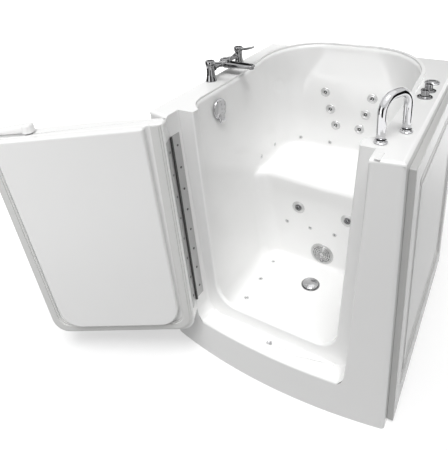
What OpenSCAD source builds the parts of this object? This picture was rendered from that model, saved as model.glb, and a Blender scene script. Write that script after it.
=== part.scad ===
// Walk-in bathtub: a deep seated tub with a bowed front and a tapered door that swings outward
// on a continuous hinge.  The front faces -Y, the hinge is on the left, up is +Z, millimetres.
// Modules measure Y from the ends of the front face; place() moves all to the shared origin,
// which is on the floor under the centre levelling foot.

/* [Tub body] */
// Width across the front
tub_w = 816; // [760:1:900]
// Depth from the ends of the front face to the back
tub_l = 883; // [860:1:1000]
// Height of the deck above the floor
deck_h = 965; // [930:1:1000]
// How far the front bows forward at its middle
bow = 43; // [30:1:60]
// Thickness of the moulded shell
skin = 6; // [4:0.5:8]
// Rounding of the deck's outer edges
edge_r = 12; // [7:1:16]
// Height of the skirt below the deck at the sides and back
skirt_h = 60; // [45:1:90]

/* [Basin] */
// Width of the deck on each side of the basin
deck_side = 92; // [88:1:110]
// How much the basin narrows down to the seat, on each side
wall_in = 16; // [10:1:24]
// How much the foot well narrows down to its floor, on each side
foot_in = 38; // [25:1:50]
// Distance to the basin's front wall
wall_y = 60; // [56:1:70]
// Depth of the seat from its front edge to the backrest
seat_d = 291; // [270:1:320]
// Distance of the backrest in from the back of the tub
rest_in = 87; // [84:1:100]
// Width of the deck behind the basin
deck_back = 33; // [30:1:42]
// Height of the foot-well floor
floor_h = 95; // [85:1:110]
// Height of the seat
seat_h = 508; // [470:1:540]
// Height above the seat at which the backrest starts to lean
lean_up = 292; // [282:1:330]
// Corner radius of the basin at the front
front_r = 110; // [80:1:130]
// Corner radius of the basin at the back
back_r = 228; // [180:1:240]
// Rounding of the seat's front edge
nose_r = 28; // [15:1:35]
// Fillet between the floor and the face under the seat
riser_r = 12; // [8:1:20]
// Fillet between seat and backrest
foot_r = 30; // [15:1:36]
// Rounding of the basin's floor at its sides
floor_r = 50; // [30:1:60]
// Height of the raised rim at the back
rim_h = 35; // [20:1:45]
// Width of the raised rim
rim_w = 12; // [10:1:15]
// Length over which the rim rises
rim_run = 400; // [330:1:450]

/* [Doorway] */
// Width of the front face on each side of the doorway recess
front_side = 86; // [82:1:100]
// Inward lean of the doorway's sides, width lost per height
taper = 0.0517; // [0.03:0.001:0.06]
// Height of the sill at its front edge
sill_h = 150; // [140:1:160]
// Height of the sill where it meets the lip
sill_back_h = 135; // [125:1:140]
// Distance to the lip that the seal presses on
lip_y = 45; // [43:1:48]
// Bottom corner radius of the recess
recess_r = 60; // [45:1:75]
// Width of the lip at the hinge side
lip_left = 59; // [54:1:62]
// Width of the lip at the free side
lip_right = 45; // [40:1:48]
// Height of the threshold inside the lip
hole_h = 190; // [180:1:200]
// Bottom corner radius of the inner opening
hole_r = 80; // [60:1:90]
// Inward lean of the inner opening's left side
hole_taper_left = 0.038; // [0.03:0.001:0.05]
// Inward lean of the inner opening's right side
hole_taper_right = 0.066; // [0.05:0.001:0.07]

/* [Door] */
// How far the door stands open, degrees
door_open = 155.9; // [90:0.1:155.9]
// Distance from the recess wall to the hinge line
hinge_in = 4.5; // [4.4:0.1:6]
// Distance to the hinge line from the ends of the front face, towards the user
hinge_fwd = 13.4; // [12:0.1:14]
// Forward lean of the hinge line, distance gained per height lost
hinge_slope = 0.008; // [0.004:0.001:0.01]
// Gap between the door's free edge and the recess
door_gap = 8; // [6:0.5:10]
// Gap between the door's bottom and the sill
sill_gap = 5; // [4:0.5:8]
// Height of the door's top below the deck
door_low = 4; // [2:0.5:8]
// Distance to the back of the door's flange
flange_y = 36; // [34:0.5:38]
// Distance to the face of the raised pan
pan_y = 61.5; // [56:0.5:64]
// Wall thickness of the door mouldings
door_wall = 4; // [3:0.5:6]
// Bottom corner radius of the door
door_r = 52; // [40:1:60]
// Bottom corner radius of the pan
pan_r = 76; // [50:1:80]
// Gap between the pan and the inner opening at the hinge side
pan_gap = 6; // [5:0.5:10]
// Gap between the pan and the inner opening at the free side
pan_swing_gap = 15; // [13:0.5:18]
// Width of the seal
seal_w = 34; // [26:1:36]

/* [Hinge] */
// Height of the hinge's lower end above the sill
hinge_up = 90; // [70:1:130]
// Distance of the hinge's upper end below the deck
hinge_down = 72; // [65:1:100]
// Knuckles along the hinge
knuckles = 20; // [12:2:26]
// Outer radius of the knuckles
knuckle_r = 4.1; // [3.8:0.1:4.2]
// Radius of the hinge pin
pin_r = 2; // [1.8:0.1:2.2]
// Thickness of the leaves
leaf_t = 1.6; // [1.2:0.1:1.8]
// Width of the leaves
leaf_w = 44; // [40:1:46]
// Screws in each leaf
leaf_screws = 8; // [6:1:10]

/* [Latch] */
// Distance of the latch pivot in from the door's free edge
latch_in = 164; // [150:1:170]
// Length of the latch lever from its pivot to its tip
latch_reach = 196; // [185:1:205]
// Height of the lever's boss
latch_boss_h = 34; // [28:1:38]
// Radius of the lever's boss
latch_boss_r = 21; // [18:0.5:22]

/* [Tap] */
// Distance of the front tap pillar in front of the seat
tap_fwd = 183; // [170:1:195]
// Spacing of the two pillars
tap_span = 205; // [190:1:215]
// Distance of the pillars in from the tub's side
tap_in = 30; // [28:1:34]
// Reach of the spout from the pillar line
spout_reach = 129; // [115:1:135]
// Height of the pillar caps above the deck
tap_h = 77; // [72:1:82]
// Reach of the levers
lever_reach = 76; // [65:1:80]

/* [Deck fittings] */
// Distance of the grab bar's front foot in from the tub's side
bar_in0 = 85; // [80:1:90]
// Distance to the grab bar's front foot
bar_y0 = 82; // [80:1:90]
// Distance of the grab bar's rear foot in from the tub's side
bar_in1 = 40; // [36:1:44]
// Distance to the grab bar's rear foot
bar_y1 = 175; // [165:1:185]
// Height of the grab bar above the deck
bar_h = 139; // [120:1:150]
// Radius of the grab bar's tube
bar_r = 12.5; // [11:0.5:14]
// Distance of the deck controls in from the tub's side
ctrl_in = 46; // [44:1:48]
// Distance of the push button behind the seat's front edge
button_back = 86; // [70:1:100]
// Spacing of the push button and the rear regulator
button_gap = 80; // [60:1:90]
// Spacing of the two regulators
reg_gap = 61; // [54:1:70]

/* [Jets and waste] */
// Half the spacing of the two riser jets
riser_jet_x = 108; // [90:1:120]
// Distance of the two riser jets below the seat
riser_jet_down = 143; // [125:1:160]
// Radius of the riser jets' rings
jet_r = 24; // [21:0.5:26]
// Radius of the back jets
back_jet_r = 17.5; // [15:0.5:19]
// Half the spacing of the top pair of back jets
back_jet_x = 104; // [95:1:110]
// Distance of the top pair of back jets below the lean of the backrest
back_jet_down = 10; // [9:1:20]
// Height between two pairs of back jets
back_jet_step = 76; // [70:1:80]
// Inward step of each lower pair of back jets
back_jet_in = 25; // [20:1:28]
// Height of the air jets above the seat
air_up = 39; // [39:1:50]
// Distance of the riser's air jets below its two large jets
riser_air_down = 88; // [70:1:100]
// Spacing of the riser's air jets
riser_air_step = 109; // [90:1:115]
// Spacing of the floor's air jets
floor_air_step = 119; // [100:1:125]
// Height of the suction cover above the floor of the foot well
suction_up = 64; // [64:1:75]
// Radius of the suction cover
suction_r = 52; // [46:1:54]
// Distance of the drain in front of the tub's middle
drain_fwd = 63.5; // [58:0.5:80]
// Radius of the drain stopper's cap
cap_r = 39; // [32:0.5:42]
// Distance of the overflow plate in front of the front tap pillar
over_fwd = 62; // [50:1:75]
// Distance of the overflow plate's middle below the deck
over_down = 79; // [74:1:95]
// Radius of the overflow plate
over_r = 39; // [34:0.5:42]

/* [Side panel] */
// How far the panel stands out from the shell
panel_t = 20; // [16:1:26]
// Distance of the panel's top below the deck
panel_down = 33; // [25:1:50]
// Distance to the panel's front edge
panel_y = 36; // [30:1:45]
// Width of the plain border round the panel's moulding
border_w = 66; // [55:1:75]
// Height of the plain border below the moulding
border_low = 88; // [70:1:110]
// Width of the moulding
mould_w = 36; // [28:1:44]
// Depth of the groove in the moulding
mould_d = 7; // [4:0.5:9]

/* [Frame and feet] */
// Side of the frame's square tube
tube = 30; // [25:1:32]
// Height of the underside of the lower rails
rail_z = 58; // [54:1:60]
// Radius of the levelling feet
foot_pad_r = 25; // [20:1:30]
// Radius of the waste outlet pipe
waste_r = 20; // [19:0.5:21]
// Place of the waste outlet across the back
outlet_x = 120; // [100:1:150]

// Sub-part to show

/* [Hidden] */
$fn = 48;
// finer steps for the large bowed surface
fine = 360;
// clearance between fixed pieces seated on each other
seat = 0.3;
// steps in each rounded corner of the tapered shapes
arc_steps = 10;
// running clearance of a shaft in its bore
run_fit = 0.05;
// overshoot of cutting shapes
cut = 2;

bow_r = (tub_w * tub_w / 4 + bow * bow) / (2 * bow);
bow_cy = bow_r - bow;
half_w = tub_w / 2;
basin_hw = half_w - deck_side;
seat_hw = basin_hw - wall_in;
floor_hw = seat_hw - foot_in;
rest_y = tub_l - rest_in;
back_y = tub_l - deck_back;
riser_y = rest_y - seat_d;
rim_y = back_y - rim_run;
lean_h = seat_h + lean_up;
recess_hw = half_w - front_side;
hole_left = recess_hw - lip_left;
hole_right = recess_hw - lip_right;
hinge_z0 = sill_h + hinge_up;
hinge_z1 = deck_h - hinge_down;
tap_y = riser_y - tap_fwd;
bar_x0 = half_w - bar_in0;
bar_x1 = half_w - bar_in1;
button_y = riser_y + button_back;
reg_rear_y = button_y - button_gap;
reg_front_y = reg_rear_y - reg_gap;
riser_jet_z = seat_h - riser_jet_down;
back_jet_z = lean_h - back_jet_down;
air_z = seat_h + air_up;
riser_air_z = riser_jet_z - riser_air_down;
suction_z = floor_h + suction_up;
drain_y = tub_l / 2 - drain_fwd;
over_y = tap_y - over_fwd;
over_z = deck_h - over_down;
panel_top = deck_h - panel_down;
lean_deg = atan(taper);
axis_x = -recess_hw + hinge_in;
door_x0 = axis_x + hinge_in;
door_x1 = recess_hw - door_gap;
latch_x = door_x1 - latch_in;
door_top = deck_h - door_low;
door_bottom = sill_h + sill_gap;
tap_x = -half_w + tap_in;
ctrl_x = half_w - ctrl_in;
wall_slope = (basin_hw - seat_hw) / (deck_h - seat_h);
wall_lean = atan(wall_slope);
foot_slope = (seat_hw - floor_hw) / (seat_h - floor_h);
under_deck = deck_h - skin;
// steps round a pipe
pipe_fn = 20;
// thickness of a pipe fitting against its pipe
fitting = 1.25;
// hidden fittings
shank_r = 10.5;
tail_r = 11.5;
air_tail_r = 5;
air_tail_out = 3;
jet_body_r = 18;
suction_body_r = 38;
drain_body_r = 24;
over_body_r = 22;
pipe_r = 12;
air_r = 8;
bar_stud_r = 6;
ctrl_body_r = 13;
button_r = 21;
flange_t = 18;
waste_z = waste_r + 12;
volute_r = 70;
volute_l = 60;
motor_r = 58;
motor_l = 190;
pump_z = 140;
pump_y = riser_y + 165;
suction_len = 45;
manifold_y = riser_y + 56;
back_pipe_y = tub_l - 34;
air_back_y = rest_y + skin + air_tail_out + air_r + seat;
blow_r = 75;
blow_x = -170;
blow_y = riser_y + 155;
blow_h = 170;

// ---------------------------------------------------------------- shared helpers

module place() {
    translate([0, -tub_l / 2, 0]) children();
}

// straight rod between two points
module rod(p, q, r, $fn = pipe_fn) {
    d = q - p;
    len = norm(d);
    translate(p) rotate([0, acos(d[2] / len), atan2(d[1], d[0])]) cylinder(r = r, h = len);
}

// rods along a list of points, with a thicker fitting at every bend
module run(pts, r, $fn = pipe_fn) {
    for (i = [0 : len(pts) - 2]) rod(pts[i], pts[i + 1], r);
    for (i = [1 : len(pts) - 2]) pipe_fitting(pts[i], r);
}

module pipe_fitting(p, r) {
    translate(p) cylinder(r = r * fitting, h = 2 * r * fitting, center = true, $fn = pipe_fn);
}

module both_sides() {
    children();
    mirror([1, 0, 0]) children();
}

// ring between two radii
module ring(r_out, r_in, h) {
    difference() {
        cylinder(r = r_out, h = h);
        translate([0, 0, -cut]) cylinder(r = r_in, h = h + 2 * cut);
    }
}

// points along an arc about a centre
function arc(x, z, r, a0, a1) = [for (i = [0 : arc_steps])
    let (t = a0 + (a1 - a0) * i / arc_steps) [x + r * cos(t), z + r * sin(t)]];

// flat shape whose sides lean in towards a rounded bottom
module taper_u(left, right, lean_l, lean_r, top, bottom, r) {
    zc = bottom + r;
    xr = right - lean_r * (top - zc) - r * sqrt(1 + lean_r * lean_r);
    xl = left - lean_l * (top - zc) - r * sqrt(1 + lean_l * lean_l);
    polygon(concat([[right, top], [-left, top]], arc(-xl, zc, r, 180 + atan(lean_l), 270),
        arc(xr, zc, r, 270, 360 - atan(lean_r))));
}

// raises a front-view shape into a block from y0 to y1
module front_block(y0, y1) {
    translate([0, y1, 0]) rotate([90, 0, 0]) linear_extrude(y1 - y0) children();
}

// raises a side-view shape into a block between -x and +x
module side_block(x) {
    translate([-x, 0, 0]) rotate([90, 0, 90]) linear_extrude(2 * x) children();
}

// raises a plan shape into a block from z0 to z1
module plan_block(z0, z1) {
    translate([0, 0, z0]) linear_extrude(z1 - z0) children();
}

module on_deck(x, y) {
    translate([x, y, deck_h]) children();
}

module on_floor(x, y) {
    translate([x, y, floor_h]) children();
}

module on_riser(x, z) {
    translate([x, riser_y, z]) rotate([90, 0, 0]) children();
}

module on_backrest(x, z) {
    translate([x, rest_y, z]) rotate([90, 0, 0]) children();
}

module on_left_wall(y, z) {
    translate([-basin_hw + wall_slope * (deck_h - z), y, z])
        rotate([0, 90 - wall_lean, 0]) children();
}

// frame that lies along the leaning hinge line, its origin at deck height
module hinge_frame() {
    translate([axis_x, -hinge_fwd, deck_h]) rotate([-atan(hinge_slope), -lean_deg, 0]) children();
}

// turns door pieces, drawn closed, to the open rest pose
module door_pose() {
    translate([axis_x, -hinge_fwd, deck_h]) rotate(a = -door_open, v = [-taper, hinge_slope, 1])
        translate([-axis_x, hinge_fwd, -deck_h]) children();
}

// ---------------------------------------------------------------- shell

module edge_profile(w, h) {
    translate([0, -cut]) square([w - edge_r, h + cut]);
    translate([0, -cut]) square([w, h - edge_r + cut]);
    translate([w - edge_r, h - edge_r]) circle(edge_r);
}

// outer form of the shell, drawn in by g
module shell_form(g) {
    intersection() {
        translate([0, bow_cy, 0]) rotate_extrude($fn = fine) edge_profile(bow_r - g, deck_h - g);
        front_block(-2 * bow, 2 * tub_l) union() {
            edge_profile(half_w - g, deck_h - g);
            mirror([1, 0]) edge_profile(half_w - g, deck_h - g);
        }
        side_block(tub_w) union() {
            edge_profile(tub_l - g, deck_h - g);
            translate([-2 * bow, -cut]) square([2 * bow + cut, deck_h - g + cut]);
        }
    }
}

module solid_form(g, y0, y1) {
    intersection() {
        shell_form(g);
        translate([-tub_w, y0, g > 0 ? -cut : 0]) cube([2 * tub_w, y1 - y0, deck_h + 2 * cut]);
    }
}

module basin_plan(g) {
    w = basin_hw + g;
    y0 = wall_y - g;
    y1 = back_y + g;
    rf = front_r + g;
    rb = back_r + g;
    translate([-w, y0 + rf]) square([2 * w, y1 - y0 - rf - rb]);
    translate([-w + rf, y0]) square([2 * (w - rf), rf + cut]);
    translate([-w + rb, y1 - rb - cut]) square([2 * (w - rb), rb + cut]);
    for (s = [-1, 1]) {
        translate([s * (w - rf), y0 + rf]) circle(rf);
        translate([s * (w - rb), y1 - rb]) circle(rb);
    }
}

module basin_side(g) {
    top = deck_h + 2 * rim_h;
    difference() {
        union() {
            translate([wall_y - g, floor_h - g])
                square([riser_y - wall_y + 2 * g, top - floor_h + g]);
            polygon([[riser_y, seat_h - g], [rest_y + g, seat_h - g], [rest_y + g, lean_h],
                [back_y + g, deck_h], [back_y + g, top], [riser_y, top]]);
            difference() {
                translate([riser_y + g, seat_h - nose_r])
                    square([nose_r - g, nose_r - g]);
                translate([riser_y + nose_r, seat_h - nose_r]) circle(nose_r - g);
            }
        }
        fillet_cut(riser_y - riser_r, floor_h + riser_r, riser_r + g);
        fillet_cut(rest_y - foot_r, seat_h + foot_r, foot_r + g);
    }
}

// corner piece left below and behind a fillet centred at x, z
module fillet_cut(x, z, r) {
    difference() {
        translate([x, z - r - cut]) square([r + cut, r + cut]);
        translate([x, z]) circle(r);
        translate([x + r, z - r - cut]) square([cut, r + 2 * cut]);
    }
}

module basin_front(g) {
    top = deck_h + 2 * rim_h;
    over = basin_hw + g + wall_slope * 2 * rim_h;
    taper_u(seat_hw + g, seat_hw + g, foot_slope, foot_slope, seat_h, floor_h - g, floor_r + g);
    polygon([[-seat_hw - g, seat_h - 1], [seat_hw + g, seat_h - 1], [seat_hw + g, seat_h],
        [over, top], [-over, top], [-seat_hw - g, seat_h]]);
}

module basin_form(g) {
    intersection() {
        plan_block(floor_h - 2 * skin, deck_h + 2 * rim_h) basin_plan(g);
        side_block(half_w) basin_side(g);
        front_block(wall_y - 2 * skin, tub_l) basin_front(g);
    }
}

module hole_shape(g) {
    taper_u(hole_left + g, hole_right + g, hole_taper_left, hole_taper_right, deck_h + cut,
        hole_h - g, hole_r + g);
}

module recess_shape(g) {
    taper_u(recess_hw + g, recess_hw + g, taper, taper, deck_h, sill_back_h - g, recess_r + g);
}

module basin_holes() {
    on_floor(0, drain_y) cylinder(r = drain_body_r + seat, h = 3 * skin, center = true);
    for (s = [-1, 1]) on_riser(s * riser_jet_x, riser_jet_z)
        cylinder(r = jet_body_r + seat, h = 3 * skin, center = true);
    on_riser(0, suction_z) cylinder(r = suction_body_r + seat, h = 3 * skin, center = true);
    on_left_wall(over_y, over_z) cylinder(r = over_body_r + seat, h = 3 * skin, center = true);
    back_jet_places() cylinder(r = tail_r + seat, h = 3 * skin, center = true);
    air_jet_places() cylinder(r = air_tail_r + seat, h = 3 * skin, center = true);
    for (y = [tap_y, tap_y + tap_span]) on_deck(tap_x, y)
        cylinder(r = shank_r + seat, h = 3 * skin, center = true);
    for (p = [[bar_x0, bar_y0], [bar_x1, bar_y1]]) on_deck(p[0], p[1])
        cylinder(r = bar_stud_r + seat, h = 3 * skin, center = true);
    for (y = [reg_front_y, reg_rear_y, button_y]) on_deck(ctrl_x, y)
        cylinder(r = ctrl_body_r + seat, h = 3 * skin, center = true);
}

module tub_basin() {
    color("white") difference() {
        union() {
            // deck and skirt
            difference() {
                solid_form(0, wall_y, tub_l + cut);
                solid_form(skin, wall_y - cut, tub_l + cut);
                translate([-tub_w, 0, -cut]) cube([2 * tub_w, 2 * tub_l, deck_h - skirt_h + cut]);
            }
            // basin wall
            intersection() {
                basin_form(skin);
                translate([-tub_w, wall_y, 0]) cube([2 * tub_w, tub_l, deck_h]);
            }
            // flange that the front is bonded to
            front_block(wall_y, wall_y + flange_t) hole_shape(skin + flange_t);
            // raised rim
            intersection() {
                plan_block(under_deck, deck_h + rim_h) basin_plan(rim_w);
                side_block(half_w) polygon([[rim_y, under_deck], [back_y + rim_w, under_deck],
                    [back_y + rim_w, deck_h + rim_h], [rim_y, deck_h]]);
            }
        }
        basin_form(0);
        front_block(0, wall_y + front_r) hole_shape(0);
        translate([-tub_w, 0, deck_h]) cube([2 * tub_w, rim_y, rim_h]);
        basin_holes();
    }
}

module front_apron() {
    color("white") difference() {
        solid_form(0, -2 * bow, wall_y);
        // hollow behind the skin, with a wall kept round the recess
        difference() {
            solid_form(skin, -2 * bow, wall_y + cut);
            front_block(-2 * bow, wall_y + 2 * cut) recess_shape(skin);
            // side returns
            for (s = [-1, 1]) translate([s * half_w - (s > 0 ? skin : 0), -bow, -2 * cut])
                cube([skin, wall_y + 2 * bow, deck_h]);
        }
        // recess with its sloping sill
        difference() {
            front_block(-2 * bow, lip_y) union() {
                recess_shape(0);
                translate([-recess_hw, deck_h - 1]) square([2 * recess_hw, 2 * cut]);
            }
            side_block(recess_hw - recess_r) polygon([[-2 * bow, 0], [lip_y + cut, 0],
                [lip_y + cut, sill_back_h], [lip_y, sill_back_h], [-bow, sill_h],
                [-2 * bow, sill_h]]);
        }
        front_block(0, wall_y + cut) hole_shape(0);
        // seat of the small drain ring
        translate([0, 10, 0]) cylinder(r = air_tail_r + seat, h = deck_h / 2);
    }
}

// ---------------------------------------------------------------- side panel

module panel_block(inset, x0, x1) {
    low = border_low + inset;
    translate([x0, panel_y + border_w + inset, low])
        cube([x1 - x0, tub_l - panel_y - 2 * (border_w + inset), panel_top - border_w - inset - low]);
}

module side_panel() {
    x1 = half_w + panel_t;
    color("gainsboro") difference() {
        translate([half_w, panel_y, skin]) cube([panel_t, tub_l - panel_y, panel_top - skin]);
        translate([half_w - cut, panel_y + skin, -cut])
            cube([panel_t - skin - mould_d + cut, tub_l - panel_y - 2 * skin,
                panel_top - skin + cut]);
        // groove of the moulding, in two steps
        difference() {
            panel_block(0, x1 - mould_d / 2, x1 + cut);
            panel_block(mould_w, 0, x1 + 2 * cut);
        }
        difference() {
            panel_block(mould_w / 4, x1 - mould_d, x1 + cut);
            panel_block(3 * mould_w / 4, 0, x1 + 2 * cut);
        }
    }
}

clip_l = 40;

module panel_clips() {
    color("silver") for (y = [tub_l / 4, 3 * tub_l / 4]) for (z = [rail_z + tube / 2, deck_h / 2])
        translate([half_w - skin - seat - cut, y, z]) difference() {
            cube([cut + skin + seat + skin, clip_l, tube / 2]);
            translate([cut, cut, -cut]) cube([skin, clip_l - 2 * cut, tube]);
        }
}

// ---------------------------------------------------------------- frame and feet

frame_x = half_w - skin - seat - cut - tube;
frame_y0 = wall_y + 50;
frame_y1 = tub_l - skin - 2 * seat - tube;
cross_y = riser_y + nose_r + seat;

module support_frame() {
    color("dimgray") difference() {
        union() {
            both_sides() {
                translate([frame_x, frame_y0, rail_z])
                    cube([tube, frame_y1 - frame_y0 + tube, tube]);
                for (y = [frame_y0, frame_y1]) translate([frame_x, y, rail_z])
                    cube([tube, tube, under_deck - 1.5 * skin - rail_z]);
                translate([frame_x, cross_y, rail_z])
                    cube([tube, tube, seat_h - skin - seat - tube - rail_z]);
                translate([frame_x, frame_y0, deck_h / 2])
                    cube([tube, frame_y1 - frame_y0 + tube, tube / 2]);
            }
            for (y = [frame_y0, cross_y, frame_y1]) translate([-frame_x, y, rail_z])
                cube([2 * frame_x, tube, tube]);
            translate([-frame_x - tube, cross_y, seat_h - skin - seat - tube])
                cube([2 * (frame_x + tube), tube, tube]);
            // plate for the centre foot
            translate([-tube, tub_l / 2 - tube, rail_z])
                cube([2 * tube, cross_y - tub_l / 2 + tube + cut, skin]);
            // plate that carries the pump and the blower
            translate([-base_hw, cross_y + cut, rail_z])
                cube([2 * base_hw, frame_y1 - cross_y, base_t]);
        }
        for (p = foot_places()) translate([p[0], p[1], 0])
            cylinder(r = foot_stud_r + run_fit, h = rail_z + 3 * tube);
    }
}

foot_stud_r = 5;
base_hw = 260;
base_t = 3;
base_z = rail_z + base_t + seat;

function foot_places() = [
    [-frame_x - tube / 2, frame_y0 + 1.5 * tube],
    [frame_x + tube / 2, frame_y0 + 1.5 * tube],
    [-frame_x - tube / 2, frame_y1 - tube],
    [frame_x + tube / 2, frame_y1 - tube],
    [0, tub_l / 2]];

module levelling_feet() {
    color("dimgray") for (p = foot_places()) translate([p[0], p[1], 0]) {
        cylinder(r = foot_pad_r, h = 8);
        cylinder(r = foot_pad_r / 2, h = 16);
        cylinder(r = foot_stud_r, h = rail_z + skin / 2);
    }
}

module foot_nuts() {
    color("silver") for (p = foot_places())
        translate([p[0], p[1], rail_z - seat - 8]) difference() {
            cylinder(r = 2 * foot_stud_r, h = 8, $fn = 6);
            translate([0, 0, -cut]) cylinder(r = foot_stud_r + run_fit, h = 8 + 2 * cut);
        }
}

// ---------------------------------------------------------------- door, drawn closed

module door_shape(g) {
    taper_u(-door_x0 - g, door_x1 - g, taper, taper, door_top - g, door_bottom + g, door_r - g);
}

// region behind the bowed front surface, drawn in by g
module behind_bow(g) {
    translate([0, bow_cy, 0]) cylinder(r = bow_r - g, h = deck_h + 2 * cut, $fn = fine);
}

// cut along the hinge edge that lets the open door clear the front
module hinge_edge_cut() {
    hinge_frame() translate([0, 0, -2 * deck_h]) linear_extrude(3 * deck_h)
        polygon([[-hinge_in, hinge_in], [hinge_in + seat, hinge_in], [5 * hinge_in, -bow / 4],
            [5 * hinge_in, -2 * bow], [-hinge_in, -2 * bow]]);
}

// solid edge that the hinge is fixed to
hinge_edge_w = 16;

module door_outer() {
    color("white") door_pose() difference() {
        intersection() {
            front_block(-2 * bow, flange_y - door_wall) door_shape(0);
            behind_bow(0);
        }
        intersection() {
            front_block(-2 * bow, flange_y) taper_u(-door_x0 - hinge_edge_w, door_x1 - door_wall,
                taper, taper, door_top - door_wall, door_bottom + door_wall, door_r - door_wall);
            behind_bow(door_wall);
        }
        hinge_edge_cut();
        translate([latch_x, latch_y, door_top])
            cylinder(r = latch_bush_r + seat, h = 4 * skin, center = true);
    }
}

module pan_shape(g) {
    taper_u(hole_left - pan_gap - g, hole_right - pan_swing_gap - g, hole_taper_left,
        hole_taper_right - 0.008, door_top - g, hole_h + pan_gap + g, pan_r - g);
}

module door_inner() {
    color("white") door_pose() difference() {
        union() {
            front_block(flange_y - door_wall + seat, flange_y) door_shape(0);
            front_block(flange_y - door_wall + seat, pan_y) pan_shape(0);
        }
        front_block(0, pan_y - door_wall) pan_shape(door_wall);
    }
}

module seal_ring(w, y0, y1) {
    side = (recess_hw + hole_left) / 2;
    difference() {
        front_block(y0, y1) taper_u(side + w / 2 - 2, side + w / 2 + 2, taper, taper, door_top,
            (door_bottom + hole_h) / 2 - w / 2 + 5, door_r + w / 4);
        front_block(y0 - cut, y1 + cut) taper_u(side - w / 2 - 2, side - w / 2 + 2, taper, taper,
            door_top + cut, (door_bottom + hole_h) / 2 + w / 2 + 5, door_r - w / 4);
    }
}

module door_seal() {
    color("whitesmoke") door_pose() intersection() {
        union() {
            seal_ring(seal_w, flange_y + seat, flange_y + seal_w / 6);
            seal_ring(seal_w * 0.6, flange_y + seat, lip_y - seat);
        }
        front_block(0, 2 * lip_y) door_shape(1);
    }
}

module door_stiffeners() {
    color("silver") door_pose() {
        hinge_frame() translate([hinge_in + hinge_edge_w - seat / 2, hinge_fwd + 8, hinge_z0 - deck_h])
            cube([3 * leaf_t, flange_y - door_wall - 10, hinge_z1 - hinge_z0]);
        translate([latch_x - 3 * latch_bush_r, -latch_bush_r, door_top - door_wall - 6 * seat - 3 * leaf_t])
            difference() {
                cube([6 * latch_bush_r, flange_y - door_wall - seat + latch_bush_r - 1, 3 * leaf_t]);
                translate([3 * latch_bush_r, latch_bush_r + latch_y, -cut])
                    cylinder(r = latch_bush_r + seat, h = 4 * skin);
            }
    }
}

// ---------------------------------------------------------------- hinge

pitch = (hinge_z1 - hinge_z0) / knuckles;

// alternate knuckles of the hinge, starting at first
module hinge_knuckles(first) {
    for (i = [first : 2 : knuckles - 1])
        translate([0, 0, hinge_z0 - deck_h + i * pitch + seat / 2])
            cylinder(r = knuckle_r, h = pitch - seat);
}

module hinge_bore() {
    translate([0, 0, hinge_z0 - deck_h - cut])
        cylinder(r = pin_r + run_fit, h = hinge_z1 - hinge_z0 + 2 * cut);
}

// clearance round the other leaf's knuckles
module knuckle_gaps(first) {
    for (i = [first : 2 : knuckles - 1])
        translate([0, 0, hinge_z0 - deck_h + i * pitch - seat / 2])
            cylinder(r = knuckle_r + seat, h = pitch + seat);
}

module screw_places() {
    for (i = [0 : leaf_screws - 1])
        translate([0, leaf_w * 0.62, hinge_z0 - deck_h + (i + 0.5) * (hinge_z1 - hinge_z0) / leaf_screws])
            children();
}

module leaf(side) {
    x0 = side > 0 ? knuckle_r - leaf_t : -knuckle_r;
    translate([x0, 0, hinge_z0 - deck_h]) cube([leaf_t, leaf_w, hinge_z1 - hinge_z0]);
}

screw_r = 2;

module hinge_jamb_leaf() {
    color("silver") hinge_frame() difference() {
        union() {
            hinge_knuckles(0);
            difference() {
                leaf(-1);
                knuckle_gaps(1);
            }
        }
        hinge_bore();
        screw_places() rotate([0, 90, 0]) cylinder(r = screw_r + seat, h = 4 * knuckle_r, center = true);
    }
}

module hinge_door_leaf() {
    color("silver") door_pose() hinge_frame() difference() {
        union() {
            hinge_knuckles(1);
            difference() {
                leaf(1);
                knuckle_gaps(0);
            }
        }
        hinge_bore();
        screw_places() rotate([0, 90, 0]) cylinder(r = screw_r + seat, h = 4 * knuckle_r, center = true);
    }
}

module hinge_pin() {
    color("silver") hinge_frame() translate([0, 0, hinge_z0 - deck_h])
        cylinder(r = pin_r, h = hinge_z1 - hinge_z0);
}

module jamb_screws() {
    color("silver") hinge_frame() screw_places()
        translate([-knuckle_r + leaf_t + seat / 2, 0, 0]) rotate([0, 90, 0])
            cylinder(r = 2 * screw_r, h = 1.2);
}

module door_screws() {
    color("silver") door_pose() hinge_frame() screw_places()
        translate([knuckle_r - leaf_t - seat / 2 - 1.2, 0, 0]) rotate([0, 90, 0])
            cylinder(r = 2 * screw_r, h = 1.2);
}

// ---------------------------------------------------------------- latch

latch_y = 8;
latch_bush_r = 8;
latch_spindle_r = 5;
lever_lift = 4;

module latch_lever() {
    color("white") door_pose() translate([latch_x, latch_y, door_top]) {
        // boss and spindle
        translate([0, 0, lever_lift]) cylinder(r = latch_boss_r, h = latch_boss_h - lever_lift);
        translate([0, 0, -4 * skin]) cylinder(r = latch_spindle_r, h = 5 * skin);
        // cam below the door's top
        translate([0, 0, -4 * skin - 5]) cylinder(r = 2 * latch_spindle_r, h = 5);
        // tapering arm over the free edge, thinner towards its tip
        difference() {
            translate([0, -latch_boss_r * 0.8, lever_lift + door_low])
                cube([latch_reach, latch_boss_r * 1.6, latch_boss_h - lever_lift - door_low]);
            rotate([90, 0, 0]) linear_extrude(4 * latch_boss_r, center = true)
                polygon([[latch_boss_r, latch_boss_h + cut], [latch_reach / 2, latch_boss_h * 0.62],
                    [latch_reach + cut, latch_boss_h * 0.5], [latch_reach + cut, 2 * latch_boss_h],
                    [latch_boss_r, 2 * latch_boss_h]]);
        }
    }
}

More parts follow.
